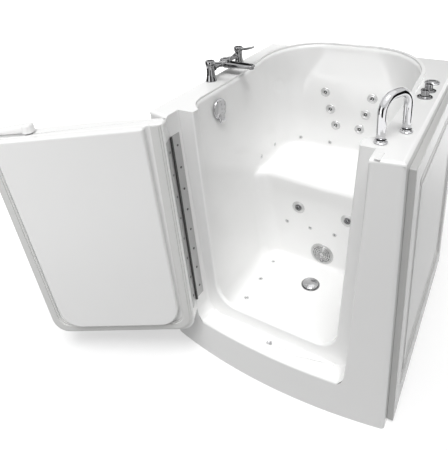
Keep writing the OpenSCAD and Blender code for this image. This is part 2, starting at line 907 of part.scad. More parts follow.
module latch_bush() {
    color("gray") door_pose() translate([latch_x, latch_y, door_top]) difference() {
        union() {
            translate([0, 0, seat]) cylinder(r = 1.6 * latch_bush_r, h = lever_lift - 2 * seat);
            translate([0, 0, -3 * skin]) cylinder(r = latch_bush_r, h = 3 * skin + cut);
        }
        translate([0, 0, -4 * skin]) cylinder(r = latch_spindle_r + run_fit, h = 6 * skin);
    }
}

keeper_x = recess_hw + 10;

module latch_keeper() {
    color("silver") on_deck(keeper_x, latch_y) difference() {
        translate([0, -latch_boss_r, 0]) cube([16, 2 * latch_boss_r, 2.4]);
        for (s = [-1, 1]) translate([8, s * 14, -cut]) cylinder(r = screw_r + seat, h = 4 * cut);
    }
}

module keeper_screws() {
    color("silver") on_deck(keeper_x, latch_y) for (s = [-1, 1])
        translate([8, s * 14, 2.4]) cylinder(r = 3.4, h = 0.8);
}

// ---------------------------------------------------------------- tap

tap_r = tap_h * 0.23;
cap_h = 13;
bridge_z = 45;
bridge_r = 10;

module tap_valves() {
    color("silver") for (y = [tap_y, tap_y + tap_span]) on_deck(tap_x, y) {
        cylinder(r = 16, h = 7);
        cylinder(r = 11.5, h = tap_h - cap_h - seat);
        translate([0, 0, bridge_z - bridge_r - 4]) cylinder(r = tap_r, h = 2 * bridge_r + 4);
        translate([0, 0, -95]) cylinder(r = shank_r, h = 96);
    }
}

module tap_bridge() {
    color("silver") on_deck(tap_x, tap_y) difference() {
        union() {
            translate([0, tap_r + seat, bridge_z]) rotate([-90, 0, 0])
                cylinder(r = bridge_r, h = tap_span - 2 * tap_r - 2 * seat);
            translate([0, tap_span / 2, bridge_z - 18]) cylinder(r = 21, h = 33);
            translate([0, tap_span / 2 - 20, bridge_z - 12]) cube([spout_reach, 40, 12]);
            translate([spout_reach - 12, tap_span / 2, bridge_z - 16]) cylinder(r = 11, h = 6);
        }
        translate([spout_reach - 12, tap_span / 2, bridge_z - 24]) cylinder(r = 8, h = 18);
    }
}

module tap_aerator() {
    color("silver") on_deck(tap_x + spout_reach - 12, tap_y + tap_span / 2)
        translate([0, 0, bridge_z - 18]) cylinder(r = 8 - seat, h = 10);
}

module tap_lever() {
    translate([0, 0, tap_h - cap_h]) {
        cylinder(r = tap_r, h = cap_h);
        translate([0, 0, cap_h / 2]) rotate([0, 84, 0]) cylinder(r = 5, h = lever_reach * 0.62);
        translate([lever_reach * 0.5, -8, cap_h / 2 + 2]) rotate([0, -14, 0])
            cube([lever_reach * 0.5, 16, 6]);
    }
}

module lever_left() {
    color("silver") on_deck(tap_x, tap_y) tap_lever();
}

module lever_right() {
    color("silver") on_deck(tap_x, tap_y + tap_span) tap_lever();
}

module tap_nuts() {
    color("goldenrod") for (y = [tap_y, tap_y + tap_span])
        translate([tap_x, y, under_deck - seat - 8]) difference() {
            rotate([0, 0, 30]) cylinder(r = 16, h = 8, $fn = 6);
            translate([0, 0, -cut]) cylinder(r = shank_r + seat, h = 8 + 2 * cut);
        }
}

// ---------------------------------------------------------------- deck fittings

module grab_bar() {
    d = [bar_x1 - bar_x0, bar_y1 - bar_y0, 0];
    span = norm(d);
    bend = span * 0.42;
    top = bar_h - bar_r;
    color("silver") on_deck(bar_x0, bar_y0) rotate([0, 0, atan2(d[1], d[0])]) {
        for (x = [0, span]) translate([x, 0, 1]) cylinder(r = bar_r, h = top - bend - 1);
        for (x = [0, span]) translate([x, 0, -4 * skin]) cylinder(r = bar_stud_r, h = 4 * skin + 2);
        translate([bend, 0, top]) rotate([0, 90, 0]) cylinder(r = bar_r, h = span - 2 * bend);
        translate([bend, 0, top - bend]) rotate([90, 0, 0]) rotate([0, 0, 90])
            rotate_extrude(angle = 90) translate([bend, 0]) circle(bar_r);
        translate([span - bend, 0, top - bend]) rotate([90, 0, 0])
            rotate_extrude(angle = 90) translate([bend, 0]) circle(bar_r);
    }
}

module grab_bar_plates() {
    color("silver") for (p = [[bar_x0, bar_y0], [bar_x1, bar_y1]]) on_deck(p[0], p[1])
        translate([0, 0, 1]) {
            ring(bar_r * 2, bar_r + seat, 4);
            ring(bar_r * 1.4, bar_r + seat, 9);
        }
}

module grab_bar_nuts() {
    color("silver") for (p = [[bar_x0, bar_y0], [bar_x1, bar_y1]])
        translate([p[0], p[1], under_deck - seat - 6]) difference() {
            cylinder(r = 2 * bar_stud_r, h = 6, $fn = 6);
            translate([0, 0, -cut]) cylinder(r = bar_stud_r + seat, h = 6 + 2 * cut);
        }
}

module button_collar() {
    color("silver") on_deck(ctrl_x, button_y) ring(26, button_r + seat, 5);
}

module air_button() {
    color("silver") on_deck(ctrl_x, button_y) {
        intersection() {
            translate([0, 0, 3.5]) cylinder(r = button_r, h = 9);
            translate([0, 0, -62]) sphere(r = 72.5, $fn = fine);
        }
        translate([0, 0, -8]) cylinder(r = 4, h = 12);
    }
}

module regulator() {
    translate([0, 0, 6.5]) cylinder(r = 13, h = 18);
    translate([-1.5, -13, 6.5]) cube([3, 26, 19.5]);
    translate([0, 0, -8]) cylinder(r = 4, h = 15);
}

module regulator_front() {
    color("silver") on_deck(ctrl_x + 2, reg_front_y) regulator();
}

module regulator_rear() {
    color("silver") on_deck(ctrl_x + 2, reg_rear_y) regulator();
}

module regulator_bases() {
    color("silver") for (y = [reg_front_y, reg_rear_y]) on_deck(ctrl_x + 2, y) {
        ring(24.5, 4 + run_fit, 3);
        ring(17, 4 + run_fit, 6);
    }
}

module control_bodies() {
    color("dimgray") for (p = [[ctrl_x + 2, reg_front_y], [ctrl_x + 2, reg_rear_y], [ctrl_x, button_y]])
        on_deck(p[0], p[1]) difference() {
            union() {
                translate([0, 0, -46]) cylinder(r = ctrl_body_r - 2, h = 45);
                translate([0, 0, -skin - 7]) cylinder(r = 20, h = 7 - seat, $fn = 6);
            }
            translate([0, 0, -15]) cylinder(r = 4 + run_fit, h = 16);
        }
}

// ---------------------------------------------------------------- waste

module drain_flange() {
    color("silver") on_floor(0, drain_y) difference() {
        union() {
            cylinder(r = cap_r - 4, h = 2);
            translate([0, 0, -skin - 14]) cylinder(r = drain_body_r, h = skin + 15);
        }
        difference() {
            translate([0, 0, -skin - 20]) cylinder(r = drain_body_r - 3, h = 60);
            // cross and hub that guide the stopper
            translate([0, 0, -skin - 12]) cylinder(r = 8, h = skin + 6);
            for (a = [0, 90]) rotate([0, 0, a]) translate([-drain_body_r, -1.5, -skin - 12])
                cube([2 * drain_body_r, 3, 5]);
        }
        translate([0, 0, -skin - 20]) cylinder(r = 4 + run_fit, h = 60);
    }
}

module drain_stopper() {
    color("silver") on_floor(0, drain_y) {
        intersection() {
            translate([0, 0, 2.4]) cylinder(r = cap_r, h = 20);
            translate([0, 0, 13 - 90]) sphere(r = 90, $fn = fine);
        }
        translate([0, 0, -skin - 14]) cylinder(r = 4, h = skin + 18);
    }
}

over_x = basin_hw + skin + 30;

module waste_pipes() {
    color("whitesmoke") difference() {
        union() {
            translate([0, drain_y, waste_z]) cylinder(r = drain_body_r + 4,
                h = floor_h - skin - 2 - waste_z);
            run([[0, drain_y, waste_z], [outlet_x, drain_y, waste_z],
                [outlet_x, tub_l - cut, waste_z]], waste_r);
            run([[0, drain_y, waste_z], [-over_x, drain_y, waste_z], [-over_x, over_y, waste_z],
                [-over_x, over_y, over_z - 60]], waste_r * 0.8);
            translate([0, drain_y, waste_z]) sphere(drain_body_r + 4);
        }
        translate([0, drain_y, waste_z]) cylinder(r = drain_body_r + seat, h = floor_h);
        translate([outlet_x, tub_l - 80, waste_z]) rotate([-90, 0, 0])
            cylinder(r = waste_r - 3, h = 100);
    }
}

module overflow_body() {
    color("whitesmoke") difference() {
        union() {
            on_left_wall(over_y, over_z) translate([0, 0, -skin - seat - 5])
                cylinder(r = over_r - 4, h = 5);
            on_left_wall(over_y, over_z) translate([0, 0, -46])
                cylinder(r = over_body_r, h = 46 - skin / 2);
            translate([-over_x, over_y, over_z - 60 + seat]) cylinder(r = waste_r, h = 62);
        }
        on_left_wall(over_y, over_z) translate([0, 0, -30]) cylinder(r = 5 + run_fit, h = 60);
    }
}

module overflow_knob() {
    color("silver") on_left_wall(over_y, over_z) {
        translate([0, 0, 5]) cylinder(r = over_r, h = 8);
        translate([0, 0, 1]) cylinder(r = over_r - 10, h = 6);
        translate([0, 0, -26]) cylinder(r = 5, h = 30);
        // finger lip at the bottom of the plate
        translate([over_r - 12, 0, 5]) cylinder(r = 18, h = 10);
        translate([over_r - 4, -15, 5]) cube([16, 30, 15]);
    }
}

module sill_drain() {
    color("silver") translate([0, 10, sill_height(10) + 0.95]) rotate([-sill_lean, 0, 0]) {
        cylinder(r = 10, h = 2);
        translate([0, 0, -skin]) cylinder(r = air_tail_r - 1.2, h = skin + 1);
    }
}

sill_lean = atan((sill_h - sill_back_h) / (lip_y + bow));
function sill_height(y) = sill_back_h + (lip_y - y) * tan(sill_lean);

// ---------------------------------------------------------------- jets

module back_jet_places() {
    for (s = [-1, 1]) for (i = [0 : 2])
        on_backrest(s * (back_jet_x - i * back_jet_in), back_jet_z - i * back_jet_step) children();
}

module air_jet_places() {
    // above the seat
    for (x = [air_mid_x, air_out_x]) both_sides() on_backrest(x, air_z) children();
    for (y = [air_side_y, air_side_y + air_side_step]) both_sides() on_left_wall(y, air_z) children();
    // in the riser
    for (i = [-1.5 : 1.5]) on_riser(i * riser_air_step, riser_air_z) children();
    // in the floor
    for (i = [0 : 2]) both_sides() on_floor(floor_air_x, floor_air_y + i * floor_air_step) children();
}

air_mid_x = 80;
air_out_x = basin_hw - 94;
air_side_y = riser_y + 39;
air_side_step = 129;
floor_air_x = floor_hw - 62;
floor_air_y = wall_y + 132;

module back_jets() {
    color("silver") back_jet_places() difference() {
        union() {
            cylinder(r = back_jet_r, h = 3);
            cylinder(r = back_jet_r * 0.62, h = 5);
            translate([0, 0, -skin - 14]) cylinder(r = tail_r, h = skin + 15);
        }
        translate([0, 0, -skin]) cylinder(r = 4, h = 20);
    }
}

module jet_bodies() {
    color("dimgray") for (s = [-1, 1]) on_riser(s * riser_jet_x, riser_jet_z) difference() {
        union() {
            translate([0, 0, -36]) cylinder(r = jet_body_r, h = 35.5);
            translate([0, 0, -skin - seat - 7]) cylinder(r = 25, h = 7, $fn = 6);
        }
        translate([0, 0, -16]) cylinder(r = eye_r + seat, h = 30);
        translate([0, 0, -28]) cylinder(r = 9, h = 40);
    }
}

eye_r = 14.7;

module jet_rings() {
    color("silver") for (s = [-1, 1]) on_riser(s * riser_jet_x, riser_jet_z) {
        ring(jet_r, eye_r + seat, 2.2);
        translate([0, 0, 2]) ring(jet_r - 2, eye_r - 0.6, 2.4);
    }
}

module jet_eye() {
    translate([0, 0, -3]) difference() {
        sphere(r = eye_r);
        cylinder(r = 4.5, h = 2 * eye_r + 2, center = true);
    }
}

module eye_left() {
    color("gray") on_riser(-riser_jet_x, riser_jet_z) jet_eye();
}

module eye_right() {
    color("gray") on_riser(riser_jet_x, riser_jet_z) jet_eye();
}

module air_jets() {
    color("silver") air_jet_places() difference() {
        union() {
            cylinder(r = 9, h = 2.4);
            translate([0, 0, -skin - air_tail_out]) cylinder(r = air_tail_r, h = skin + 4);
        }
        translate([0, 0, -skin - 6]) cylinder(r = 2, h = 20);
    }
}

module suction_cover() {
    color("silver") on_riser(0, suction_z) difference() {
        union() {
            cylinder(r = suction_r, h = 3);
            cylinder(r = suction_r * 0.84, h = 8);
        }
        translate([0, 0, -cut]) cylinder(r = suction_r * 0.76, h = 7);
        for (i = [-3 : 3]) translate([-suction_r * 0.6, i * 9 - 1.5, -cut])
            cube([suction_r * 1.2, 3, 14]);
    }
}

module suction_body() {
    color("dimgray") on_riser(0, suction_z) difference() {
        union() {
            translate([0, 0, -suction_len]) cylinder(r = suction_body_r, h = suction_len - 0.5);
            translate([0, 0, -skin - seat - 8]) cylinder(r = suction_body_r + 10, h = 8);
        }
        translate([0, 0, -suction_len + 5]) cylinder(r = suction_body_r - 3, h = suction_len + 15);
    }
}

// ---------------------------------------------------------------- works under the seat

module pump() {
    color("dimgray") translate([0, pump_y, pump_z]) rotate([0, 90, 0]) {
        translate([0, 0, volute_l + cut]) cylinder(r = motor_r, h = motor_l);
        for (i = [1 : 6]) translate([0, 0, volute_l - 6 + i * motor_l / 7.3])
            cylinder(r = motor_r + 4, h = 8);
        cylinder(r = volute_r, h = volute_l);
        translate([0, 0, volute_l - 5]) cylinder(r = 0.6 * volute_r, h = 12);
        // foot under the motor
        translate([0.7 * motor_r, -motor_r + 8, volute_l + 10])
            cube([pump_z - base_z - 0.7 * motor_r, 2 * motor_r - 16, motor_l - 20]);
    }
}

module blower() {
    color("dimgray") translate([blow_x, blow_y, base_z]) {
        cylinder(r = blow_r, h = 30);
        translate([0, 0, 30]) cylinder(r = 0.9 * blow_r, h = blow_h - 50);
        translate([0, 0, blow_h - 20]) cylinder(r = 0.67 * blow_r, h = 20);
    }
}

box_in = 90;
box_w = 78;
box_l = 180;
box_h = 130;

module control_box() {
    color("dimgray") translate([frame_x - box_in, cross_y + tube + seat, seat_h - skin - seat - box_h - 5]) {
        cube([box_w, box_l, box_h]);
        // screwed lid
        translate([-4, 10, 10]) cube([4, box_l - 20, box_h - 20]);
    }
}

side_step = 45;
rise_x = volute_l / 2;

module water_pipes() {
    color("whitesmoke") {
        // suction line
        run([[0, riser_y + suction_len + seat, suction_z], [0, riser_y + suction_len + 21, suction_z],
            [-side_step, riser_y + suction_len + 41, suction_z], [-side_step, pump_y, suction_z],
            [-seat, pump_y, suction_z]], pipe_r + 4);
        // pressure line up to the manifold behind the riser jets
        run([[rise_x, pump_y, pump_z + volute_r + seat], [rise_x, pump_y, riser_jet_z],
            [rise_x, manifold_y, riser_jet_z]], pipe_r);
        run([[-riser_jet_x, riser_y + 36.5, riser_jet_z], [-riser_jet_x, manifold_y, riser_jet_z],
            [riser_jet_x, manifold_y, riser_jet_z], [riser_jet_x, riser_y + 36.5, riser_jet_z]],
            pipe_r);
        pipe_fitting([rise_x, manifold_y, riser_jet_z], pipe_r);
        // rising line behind the backrest
        run([[rise_x, pump_y, riser_jet_z], [rise_x, back_pipe_y, riser_jet_z],
            [rise_x, back_pipe_y, back_jet_z + pipe_r]], pipe_r);
        for (i = [0 : 2]) {
            x = back_jet_x - i * back_jet_in;
            z = back_jet_z - i * back_jet_step;
            run([[-x, rest_y + skin + 14.5, z], [-x, back_pipe_y, z], [x, back_pipe_y, z],
                [x, rest_y + skin + 14.5, z]], air_r);
        }
    }
}

air_side = seat_hw + skin + 16;
air_tee_x = blow_x + 30;
riser_line_y = riser_y + skin + air_tail_out + air_r + seat;

module air_pipes() {
    color("whitesmoke") {
        // ring round the seat
        run([[-air_side, air_side_y, air_z], [-air_side, air_back_y, air_z],
            [air_side, air_back_y, air_z], [air_side, air_side_y, air_z]], air_r);
        // feed from the blower
        run([[blow_x, blow_y, base_z + blow_h + seat], [blow_x, blow_y, air_z - 124],
            [blow_x, air_back_y - 26, air_z - 124], [blow_x, air_back_y, air_z - 74],
            [blow_x, air_back_y, air_z]], air_r);
        // riser line
        rod([-1.5 * riser_air_step, riser_line_y, riser_air_z],
            [air_tee_x, riser_line_y, riser_air_z], air_r);
        run([[1.5 * riser_air_step, riser_line_y, riser_air_z], [air_tee_x, riser_line_y, riser_air_z],
            [air_tee_x, blow_y, riser_air_z], [air_tee_x, blow_y, base_z + blow_h + seat]], air_r);
        pipe_fitting([blow_x, air_back_y, air_z], air_r);
        // floor lines
        both_sides() translate([floor_air_x, 0, floor_h - skin - air_tail_out - seat - air_r])
            rod([0, floor_air_y - air_r, 0], [0, riser_y - air_tail_r, 0], air_r);
    }
}

// ---------------------------------------------------------------- all pieces

place() tub_basin();
place() front_apron();
place() side_panel();
place() panel_clips();
place() support_frame();
place() levelling_feet();
place() foot_nuts();
place() door_outer();
place() door_inner();
place() door_seal();
place() door_stiffeners();
place() hinge_jamb_leaf();
place() hinge_door_leaf();
place() hinge_pin();
place() jamb_screws();
place() door_screws();
place() latch_lever();
place() latch_bush();
place() latch_keeper();
place() keeper_screws();
place() tap_valves();
place() tap_bridge();
place() tap_aerator();
place() lever_left();
place() lever_right();
place() tap_nuts();
place() grab_bar();
place() grab_bar_plates();
place() grab_bar_nuts();
place() air_button();
place() button_collar();
place() regulator_front();
place() regulator_rear();
place() regulator_bases();
place() control_bodies();
place() drain_flange();
place() drain_stopper();
place() waste_pipes();
place() overflow_body();
place() overflow_knob();
place() sill_drain();
place() back_jets();
place() jet_bodies();
place() jet_rings();
place() eye_left();
place() eye_right();
place() air_jets();
place() suction_cover();
place() suction_body();
place() pump();
place() blower();
place() control_box();
place() water_pipes();
place() air_pipes();
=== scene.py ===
"""Walk-in bathtub with its door open: white moulded shell, chrome fittings, steel hinge."""
import math

import bmesh
import bpy
from mathutils import Matrix, Vector
from mathutils.bvhtree import BVHTree


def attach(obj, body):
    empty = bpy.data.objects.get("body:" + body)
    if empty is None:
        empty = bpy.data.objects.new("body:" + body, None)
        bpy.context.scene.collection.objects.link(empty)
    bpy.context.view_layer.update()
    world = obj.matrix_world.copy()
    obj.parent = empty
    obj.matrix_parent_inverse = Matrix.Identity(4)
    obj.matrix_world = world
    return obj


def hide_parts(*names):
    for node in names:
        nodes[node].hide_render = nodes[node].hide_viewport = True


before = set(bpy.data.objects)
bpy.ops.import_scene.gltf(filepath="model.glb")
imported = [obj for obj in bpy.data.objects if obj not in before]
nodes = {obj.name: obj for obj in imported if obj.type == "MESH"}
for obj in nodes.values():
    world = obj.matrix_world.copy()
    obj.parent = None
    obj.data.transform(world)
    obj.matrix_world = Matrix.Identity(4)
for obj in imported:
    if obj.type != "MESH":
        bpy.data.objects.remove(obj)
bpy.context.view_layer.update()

# ------------------------------------------------------------------ main places
# Millimetres, unless a line says otherwise: x from the middle of the tub, y from its front, z up.
MM = 0.001
TUB_L = 883
DECK_Z = 965
TAP_X, SPOUT_Y, LEVER_Y = -378, 424.5, (322, 527)
BAR_FEET = ((323, 82), (368, 175))
BUTTON_X, BUTTON_Y = 362, 591
REGULATOR_X, REGULATOR_Y = 364, (450, 511)
BACK_JETS = ((104, 790), (79, 714), (54, 638), (-104, 790), (-79, 714), (-54, 638))
RISER_JET_X, RISER_JET_Z = 108, 365
SUCTION_Z = 159
DRAIN_Y = 378
OVERFLOW_Y, OVERFLOW_Z = 260, 886


def place(x, y, z):
    """A point measured in millimetres from the front of the tub, in the shared frame."""
    return Vector((x * MM, y * MM - TUB_L * MM / 2, z * MM))


HINGE_SPOT = place(-317.5, -13.4, 965)
HINGE_LINE = Vector((-0.0517, 0.008, 1.0)).normalized()
DOOR_OPEN = -2.7209683  # radians from the shut door


# ------------------------------------------------------------------ camera
CAMERA_AT = (0.59651, -1.47896, 1.54836)
CAMERA_TURN = (68.1198, 3.1909, 30.6897)
LENS, SHIFT_X, SHIFT_Y = 37.575, -0.0377, -0.279


def make_camera():
    data = bpy.data.cameras.new("view")
    data.sensor_fit = "HORIZONTAL"
    data.sensor_width = 36.0
    data.lens = LENS
    data.shift_x = SHIFT_X
    data.shift_y = SHIFT_Y
    camera = bpy.data.objects.new("view", data)
    camera.location = CAMERA_AT
    camera.rotation_euler = [math.radians(a) for a in CAMERA_TURN]
    bpy.context.scene.collection.objects.link(camera)
    bpy.context.scene.camera = camera


make_camera()
bpy.context.scene.view_settings.view_transform = "Standard"


# ------------------------------------------------------------------ materials
SPECKLE_SCALE, SPECKLE_HEIGHT = 420, 0.06
COAT_ROUGH = 0.06
KNUCKLE_SHADE_R, LEAF_FROM = 0.0046, 0.0054  # metres from the hinge line: painted shade and dark reflection of the knuckles inside, plain steel outside


def new_material(name, colour, rough, metal=0.0):
    mat = bpy.data.materials.new(name)
    mat.use_nodes = True
    tree = mat.node_tree
    shader = tree.nodes["Principled BSDF"]
    shader.inputs["Base Color"].default_value = (*colour, 1)
    shader.inputs["Roughness"].default_value = rough
    shader.inputs["Metallic"].default_value = metal
    return mat, tree, shader


def add_group(tree, group, values):
    node = tree.nodes.new("ShaderNodeGroup")
    node.node_tree = group
    for key, value in values.items():
        node.inputs[key].default_value = value
    return node


def surface_group():
    """Slow waviness, fine speckle and a soft tint change, on object coordinates."""
    group = bpy.data.node_groups.new("surface wear", "ShaderNodeTree")
    face = group.interface
    for name, default in (("Scale", 30.0), ("Tint", 0.02), ("Roughness", 0.2), ("Spread", 0.04),
                          ("Wave", 0.1), ("Distance", 0.0005)):
        socket = face.new_socket(name, in_out="INPUT", socket_type="NodeSocketFloat")
        socket.default_value = default
    face.new_socket("Colour", in_out="INPUT", socket_type="NodeSocketColor")
    face.new_socket("Colour", in_out="OUTPUT", socket_type="NodeSocketColor")
    face.new_socket("Roughness", in_out="OUTPUT", socket_type="NodeSocketFloat")
    face.new_socket("Normal", in_out="OUTPUT", socket_type="NodeSocketVector")
    new = group.nodes.new
    link = group.links.new
    inp = new("NodeGroupInput")
    out = new("NodeGroupOutput")
    coord = new("ShaderNodeTexCoord")
    broad = new("ShaderNodeTexNoise")
    broad.inputs["Detail"].default_value = 3
    link(coord.outputs["Object"], broad.inputs["Vector"])
    link(inp.outputs["Scale"], broad.inputs["Scale"])
    fine = new("ShaderNodeTexNoise")
    fine.inputs["Scale"].default_value = SPECKLE_SCALE
    fine.inputs["Detail"].default_value = 2
    link(coord.outputs["Object"], fine.inputs["Vector"])
    # tint: 1 on average, half of Tint up and down
    shade = new("ShaderNodeMath")
    shade.operation = "MULTIPLY_ADD"
    link(broad.outputs["Fac"], shade.inputs[0])
    link(inp.outputs["Tint"], shade.inputs[1])
    shade.inputs[2].default_value = 1.0
    less = new("ShaderNodeMath")
    less.operation = "MULTIPLY_ADD"
    link(inp.outputs["Tint"], less.inputs[0])
    less.inputs[1].default_value = -0.5
    link(shade.outputs[0], less.inputs[2])
    colour = new("ShaderNodeVectorMath")
    colour.operation = "SCALE"
    link(inp.outputs["Colour"], colour.inputs[0])
    link(less.outputs[0], colour.inputs["Scale"])
    link(colour.outputs[0], out.inputs["Colour"])
    # roughness
    mix = new("ShaderNodeMath")
    mix.operation = "MULTIPLY_ADD"
    link(fine.outputs["Fac"], mix.inputs[0])
    link(inp.outputs["Spread"], mix.inputs[1])
    link(inp.outputs["Roughness"], mix.inputs[2])
    link(mix.outputs[0], out.inputs["Roughness"])
    # waviness
    height = new("ShaderNodeMath")
    height.operation = "MULTIPLY_ADD"
    link(fine.outputs["Fac"], height.inputs[0])
    height.inputs[1].default_value = SPECKLE_HEIGHT
    link(broad.outputs["Fac"], height.inputs[2])
    bump = new("ShaderNodeBump")
    link(inp.outputs["Wave"], bump.inputs["Strength"])
    link(inp.outputs["Distance"], bump.inputs["Distance"])
    link(height.outputs[0], bump.inputs["Height"])
    link(bump.outputs["Normal"], out.inputs["Normal"])
    return group


SURFACE = surface_group()


def finish_material(name, colour, rough, metal=0.0, scale=30.0, tint=0.02, spread=0.04, wave=0.1,
                    distance=0.0005, coat=0.0):
    mat, tree, shader = new_material(name, colour, rough, metal)
    wear = add_group(tree, SURFACE, {"Scale": scale, "Tint": tint, "Roughness": rough,
                                     "Spread": spread, "Wave": wave, "Distance": distance,
                                     "Colour": (*colour, 1)})
    tree.links.new(wear.outputs["Colour"], shader.inputs["Base Color"])
    tree.links.new(wear.outputs["Roughness"], shader.inputs["Roughness"])
    tree.links.new(wear.outputs["Normal"], shader.inputs["Normal"])
    shader.inputs["Coat Weight"].default_value = coat
    shader.inputs["Coat Roughness"].default_value = COAT_ROUGH
    return mat


def hinge_steel_painted_shade():
    """Hinge steel with painted shade: dark along the rolled knuckles about the pin, standing in for
    their shade and dark reflections.
    """
    mat = finish_material("hinge steel, painted knuckle shade", (0.5, 0.5, 0.5), 0.3, metal=1.0, scale=120.0, tint=0.08,
                          spread=0.14, wave=0.08)
    tree = mat.node_tree
    shader = tree.nodes["Principled BSDF"]
    where = tree.nodes.new("ShaderNodeTexCoord")
    from_pin = tree.nodes.new("ShaderNodeVectorMath")
    from_pin.operation = "SUBTRACT"
    from_pin.inputs[1].default_value = HINGE_SPOT
    off_line = tree.nodes.new("ShaderNodeVectorMath")
    off_line.operation = "CROSS_PRODUCT"
    off_line.inputs[1].default_value = HINGE_LINE
    reach = tree.nodes.new("ShaderNodeVectorMath")
    reach.operation = "LENGTH"
    shade = tree.nodes.new("ShaderNodeMapRange")
    shade.inputs["From Min"].default_value = KNUCKLE_SHADE_R
    shade.inputs["From Max"].default_value = LEAF_FROM
    mix = tree.nodes.new("ShaderNodeMix")
    mix.data_type = "RGBA"
    worn = shader.inputs["Base Color"].links[0].from_socket
    knuckle_painted_shade, leaf = [i for i in mix.inputs if i.type == "RGBA"]
    # painted shade: this dark colour stands in for the shade and dark reflections along the knuckles
    # and pin
    knuckle_painted_shade.default_value = (0.07, 0.07, 0.07, 1)
    tree.links.new(where.outputs["Object"], from_pin.inputs[0])
    tree.links.new(from_pin.outputs["Vector"], off_line.inputs[0])
    tree.links.new(off_line.outputs["Vector"], reach.inputs[0])
    tree.links.new(reach.outputs["Value"], shade.inputs["Value"])
    tree.links.new(shade.outputs["Result"], mix.inputs["Factor"])
    tree.links.new(worn, leaf)
    tree.links.new(next(o for o in mix.outputs if o.type == "RGBA"), shader.inputs["Base Color"])
    return mat


GELCOAT = finish_material("gelcoat", (0.935, 0.935, 0.93), 0.16, scale=9.0, tint=0.015,
                          spread=0.05, wave=0.05, distance=0.002, coat=0.35)
# side panel: grey well below the shell's white, painted shade so the panel reads as lying in shade
PANEL_PAINTED_SHADE = finish_material("panel moulding, painted shade", (0.52, 0.52, 0.513), 0.22, scale=9.0, tint=0.02,
                        wave=0.06, distance=0.002, coat=0.15)
SEAL = finish_material("door seal rubber", (0.74, 0.74, 0.73), 0.48, scale=60.0, tint=0.04,
                       wave=0.1)
CHROME = finish_material("chrome plate", (0.54, 0.54, 0.55), 0.04, metal=1.0, scale=60.0,
                         tint=0.01, spread=0.03, wave=0.02)
# tap chrome: base colour about half that of the plain chrome, painted dark reflection so the taps
# and knobs read black with bright highlights
TAP_CHROME_PAINTED_DARK = finish_material("tap chrome, painted dark reflection", (0.28, 0.28, 0.285), 0.05, metal=1.0, scale=60.0, tint=0.01,
                      spread=0.03, wave=0.02)
PIN = finish_material("hinge pin steel", (0.14, 0.14, 0.14), 0.35, metal=1.0, scale=120.0,
                      tint=0.2, spread=0.2, wave=0.1)
JET = finish_material("satin nickel", (0.62, 0.62, 0.62), 0.34, metal=1.0, scale=60.0, tint=0.06,
                      spread=0.05, wave=0.02)
STEEL = finish_material("brushed steel", (0.56, 0.56, 0.56), 0.26, metal=1.0, scale=120.0,
                        tint=0.08, spread=0.14, wave=0.08)
DARK = finish_material("dark nozzle plastic", (0.03, 0.03, 0.032), 0.35, tint=0.1)
GREY = finish_material("grey moulded plastic", (0.13, 0.135, 0.14), 0.42, scale=80, tint=0.08)
PIPE = finish_material("white pipe plastic", (0.78, 0.78, 0.76), 0.35, scale=40, tint=0.04)
FRAME = finish_material("frame powder coat", (0.10, 0.105, 0.11), 0.5, scale=200, tint=0.15,
                        wave=0.3)
MOTOR = finish_material("motor paint", (0.03, 0.03, 0.033), 0.4, scale=90, tint=0.12, wave=0.2)
HINGE = hinge_steel_painted_shade()
RUBBER = finish_material("foot rubber", (0.02, 0.02, 0.02), 0.6, scale=120, tint=0.2, wave=0.3)
BRASS = finish_material("machined brass", (0.62, 0.44, 0.18), 0.3, metal=1.0, scale=90, tint=0.1)

NODE_FINISH = {
    "panel_clips": STEEL, "support_frame": FRAME, "levelling_feet": RUBBER, "foot_nuts": STEEL,
    "door_stiffeners": STEEL, "hinge_jamb_leaf": HINGE, "hinge_door_leaf": HINGE,
    "hinge_pin": PIN, "jamb_screws": PIN, "door_screws": PIN, "latch_bush": GREY,
    "latch_keeper": GELCOAT, "keeper_screws": GELCOAT, "tap_nuts": BRASS, "grab_bar_nuts": STEEL,
    "control_bodies": GREY, "waste_pipes": PIPE, "overflow_body": PIPE, "jet_bodies": GREY,
    "suction_body": GREY, "pump": MOTOR, "blower": MOTOR, "control_box": GREY,
    "water_pipes": PIPE, "air_pipes": PIPE, "tub_basin": GELCOAT, "front_apron": GELCOAT,
    "side_panel": PANEL_PAINTED_SHADE, "door_outer": GELCOAT, "door_inner": GELCOAT, "door_seal": SEAL,
    "latch_lever": GELCOAT, "eye_left": DARK, "eye_right": DARK,
}
for name, piece in nodes.items():
    finish = NODE_FINISH.get(name, CHROME)
    piece.data.materials.clear()
    piece.data.materials.append(finish)


# ------------------------------------------------------------------ how pieces are made
ALONG_EDGE = (0.1, 0.5, 0.9)  # where along an edge its room is measured
LEAST_ROOM = 1e-5             # metres
ROOM_SHARE = 0.42             # how much of the room a rounding takes


def mesh_object(name, bm, finish, body):
    mesh = bpy.data.meshes.new(name)
    bmesh.ops.recalc_face_normals(bm, faces=bm.faces)
    bm.to_mesh(mesh)
    bm.free()
    for poly in mesh.polygons:
        poly.use_smooth = True
    mesh.materials.append(finish)
    piece = bpy.data.objects.new(name, mesh)
    bpy.context.scene.collection.objects.link(piece)
    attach(piece, body)
    return piece


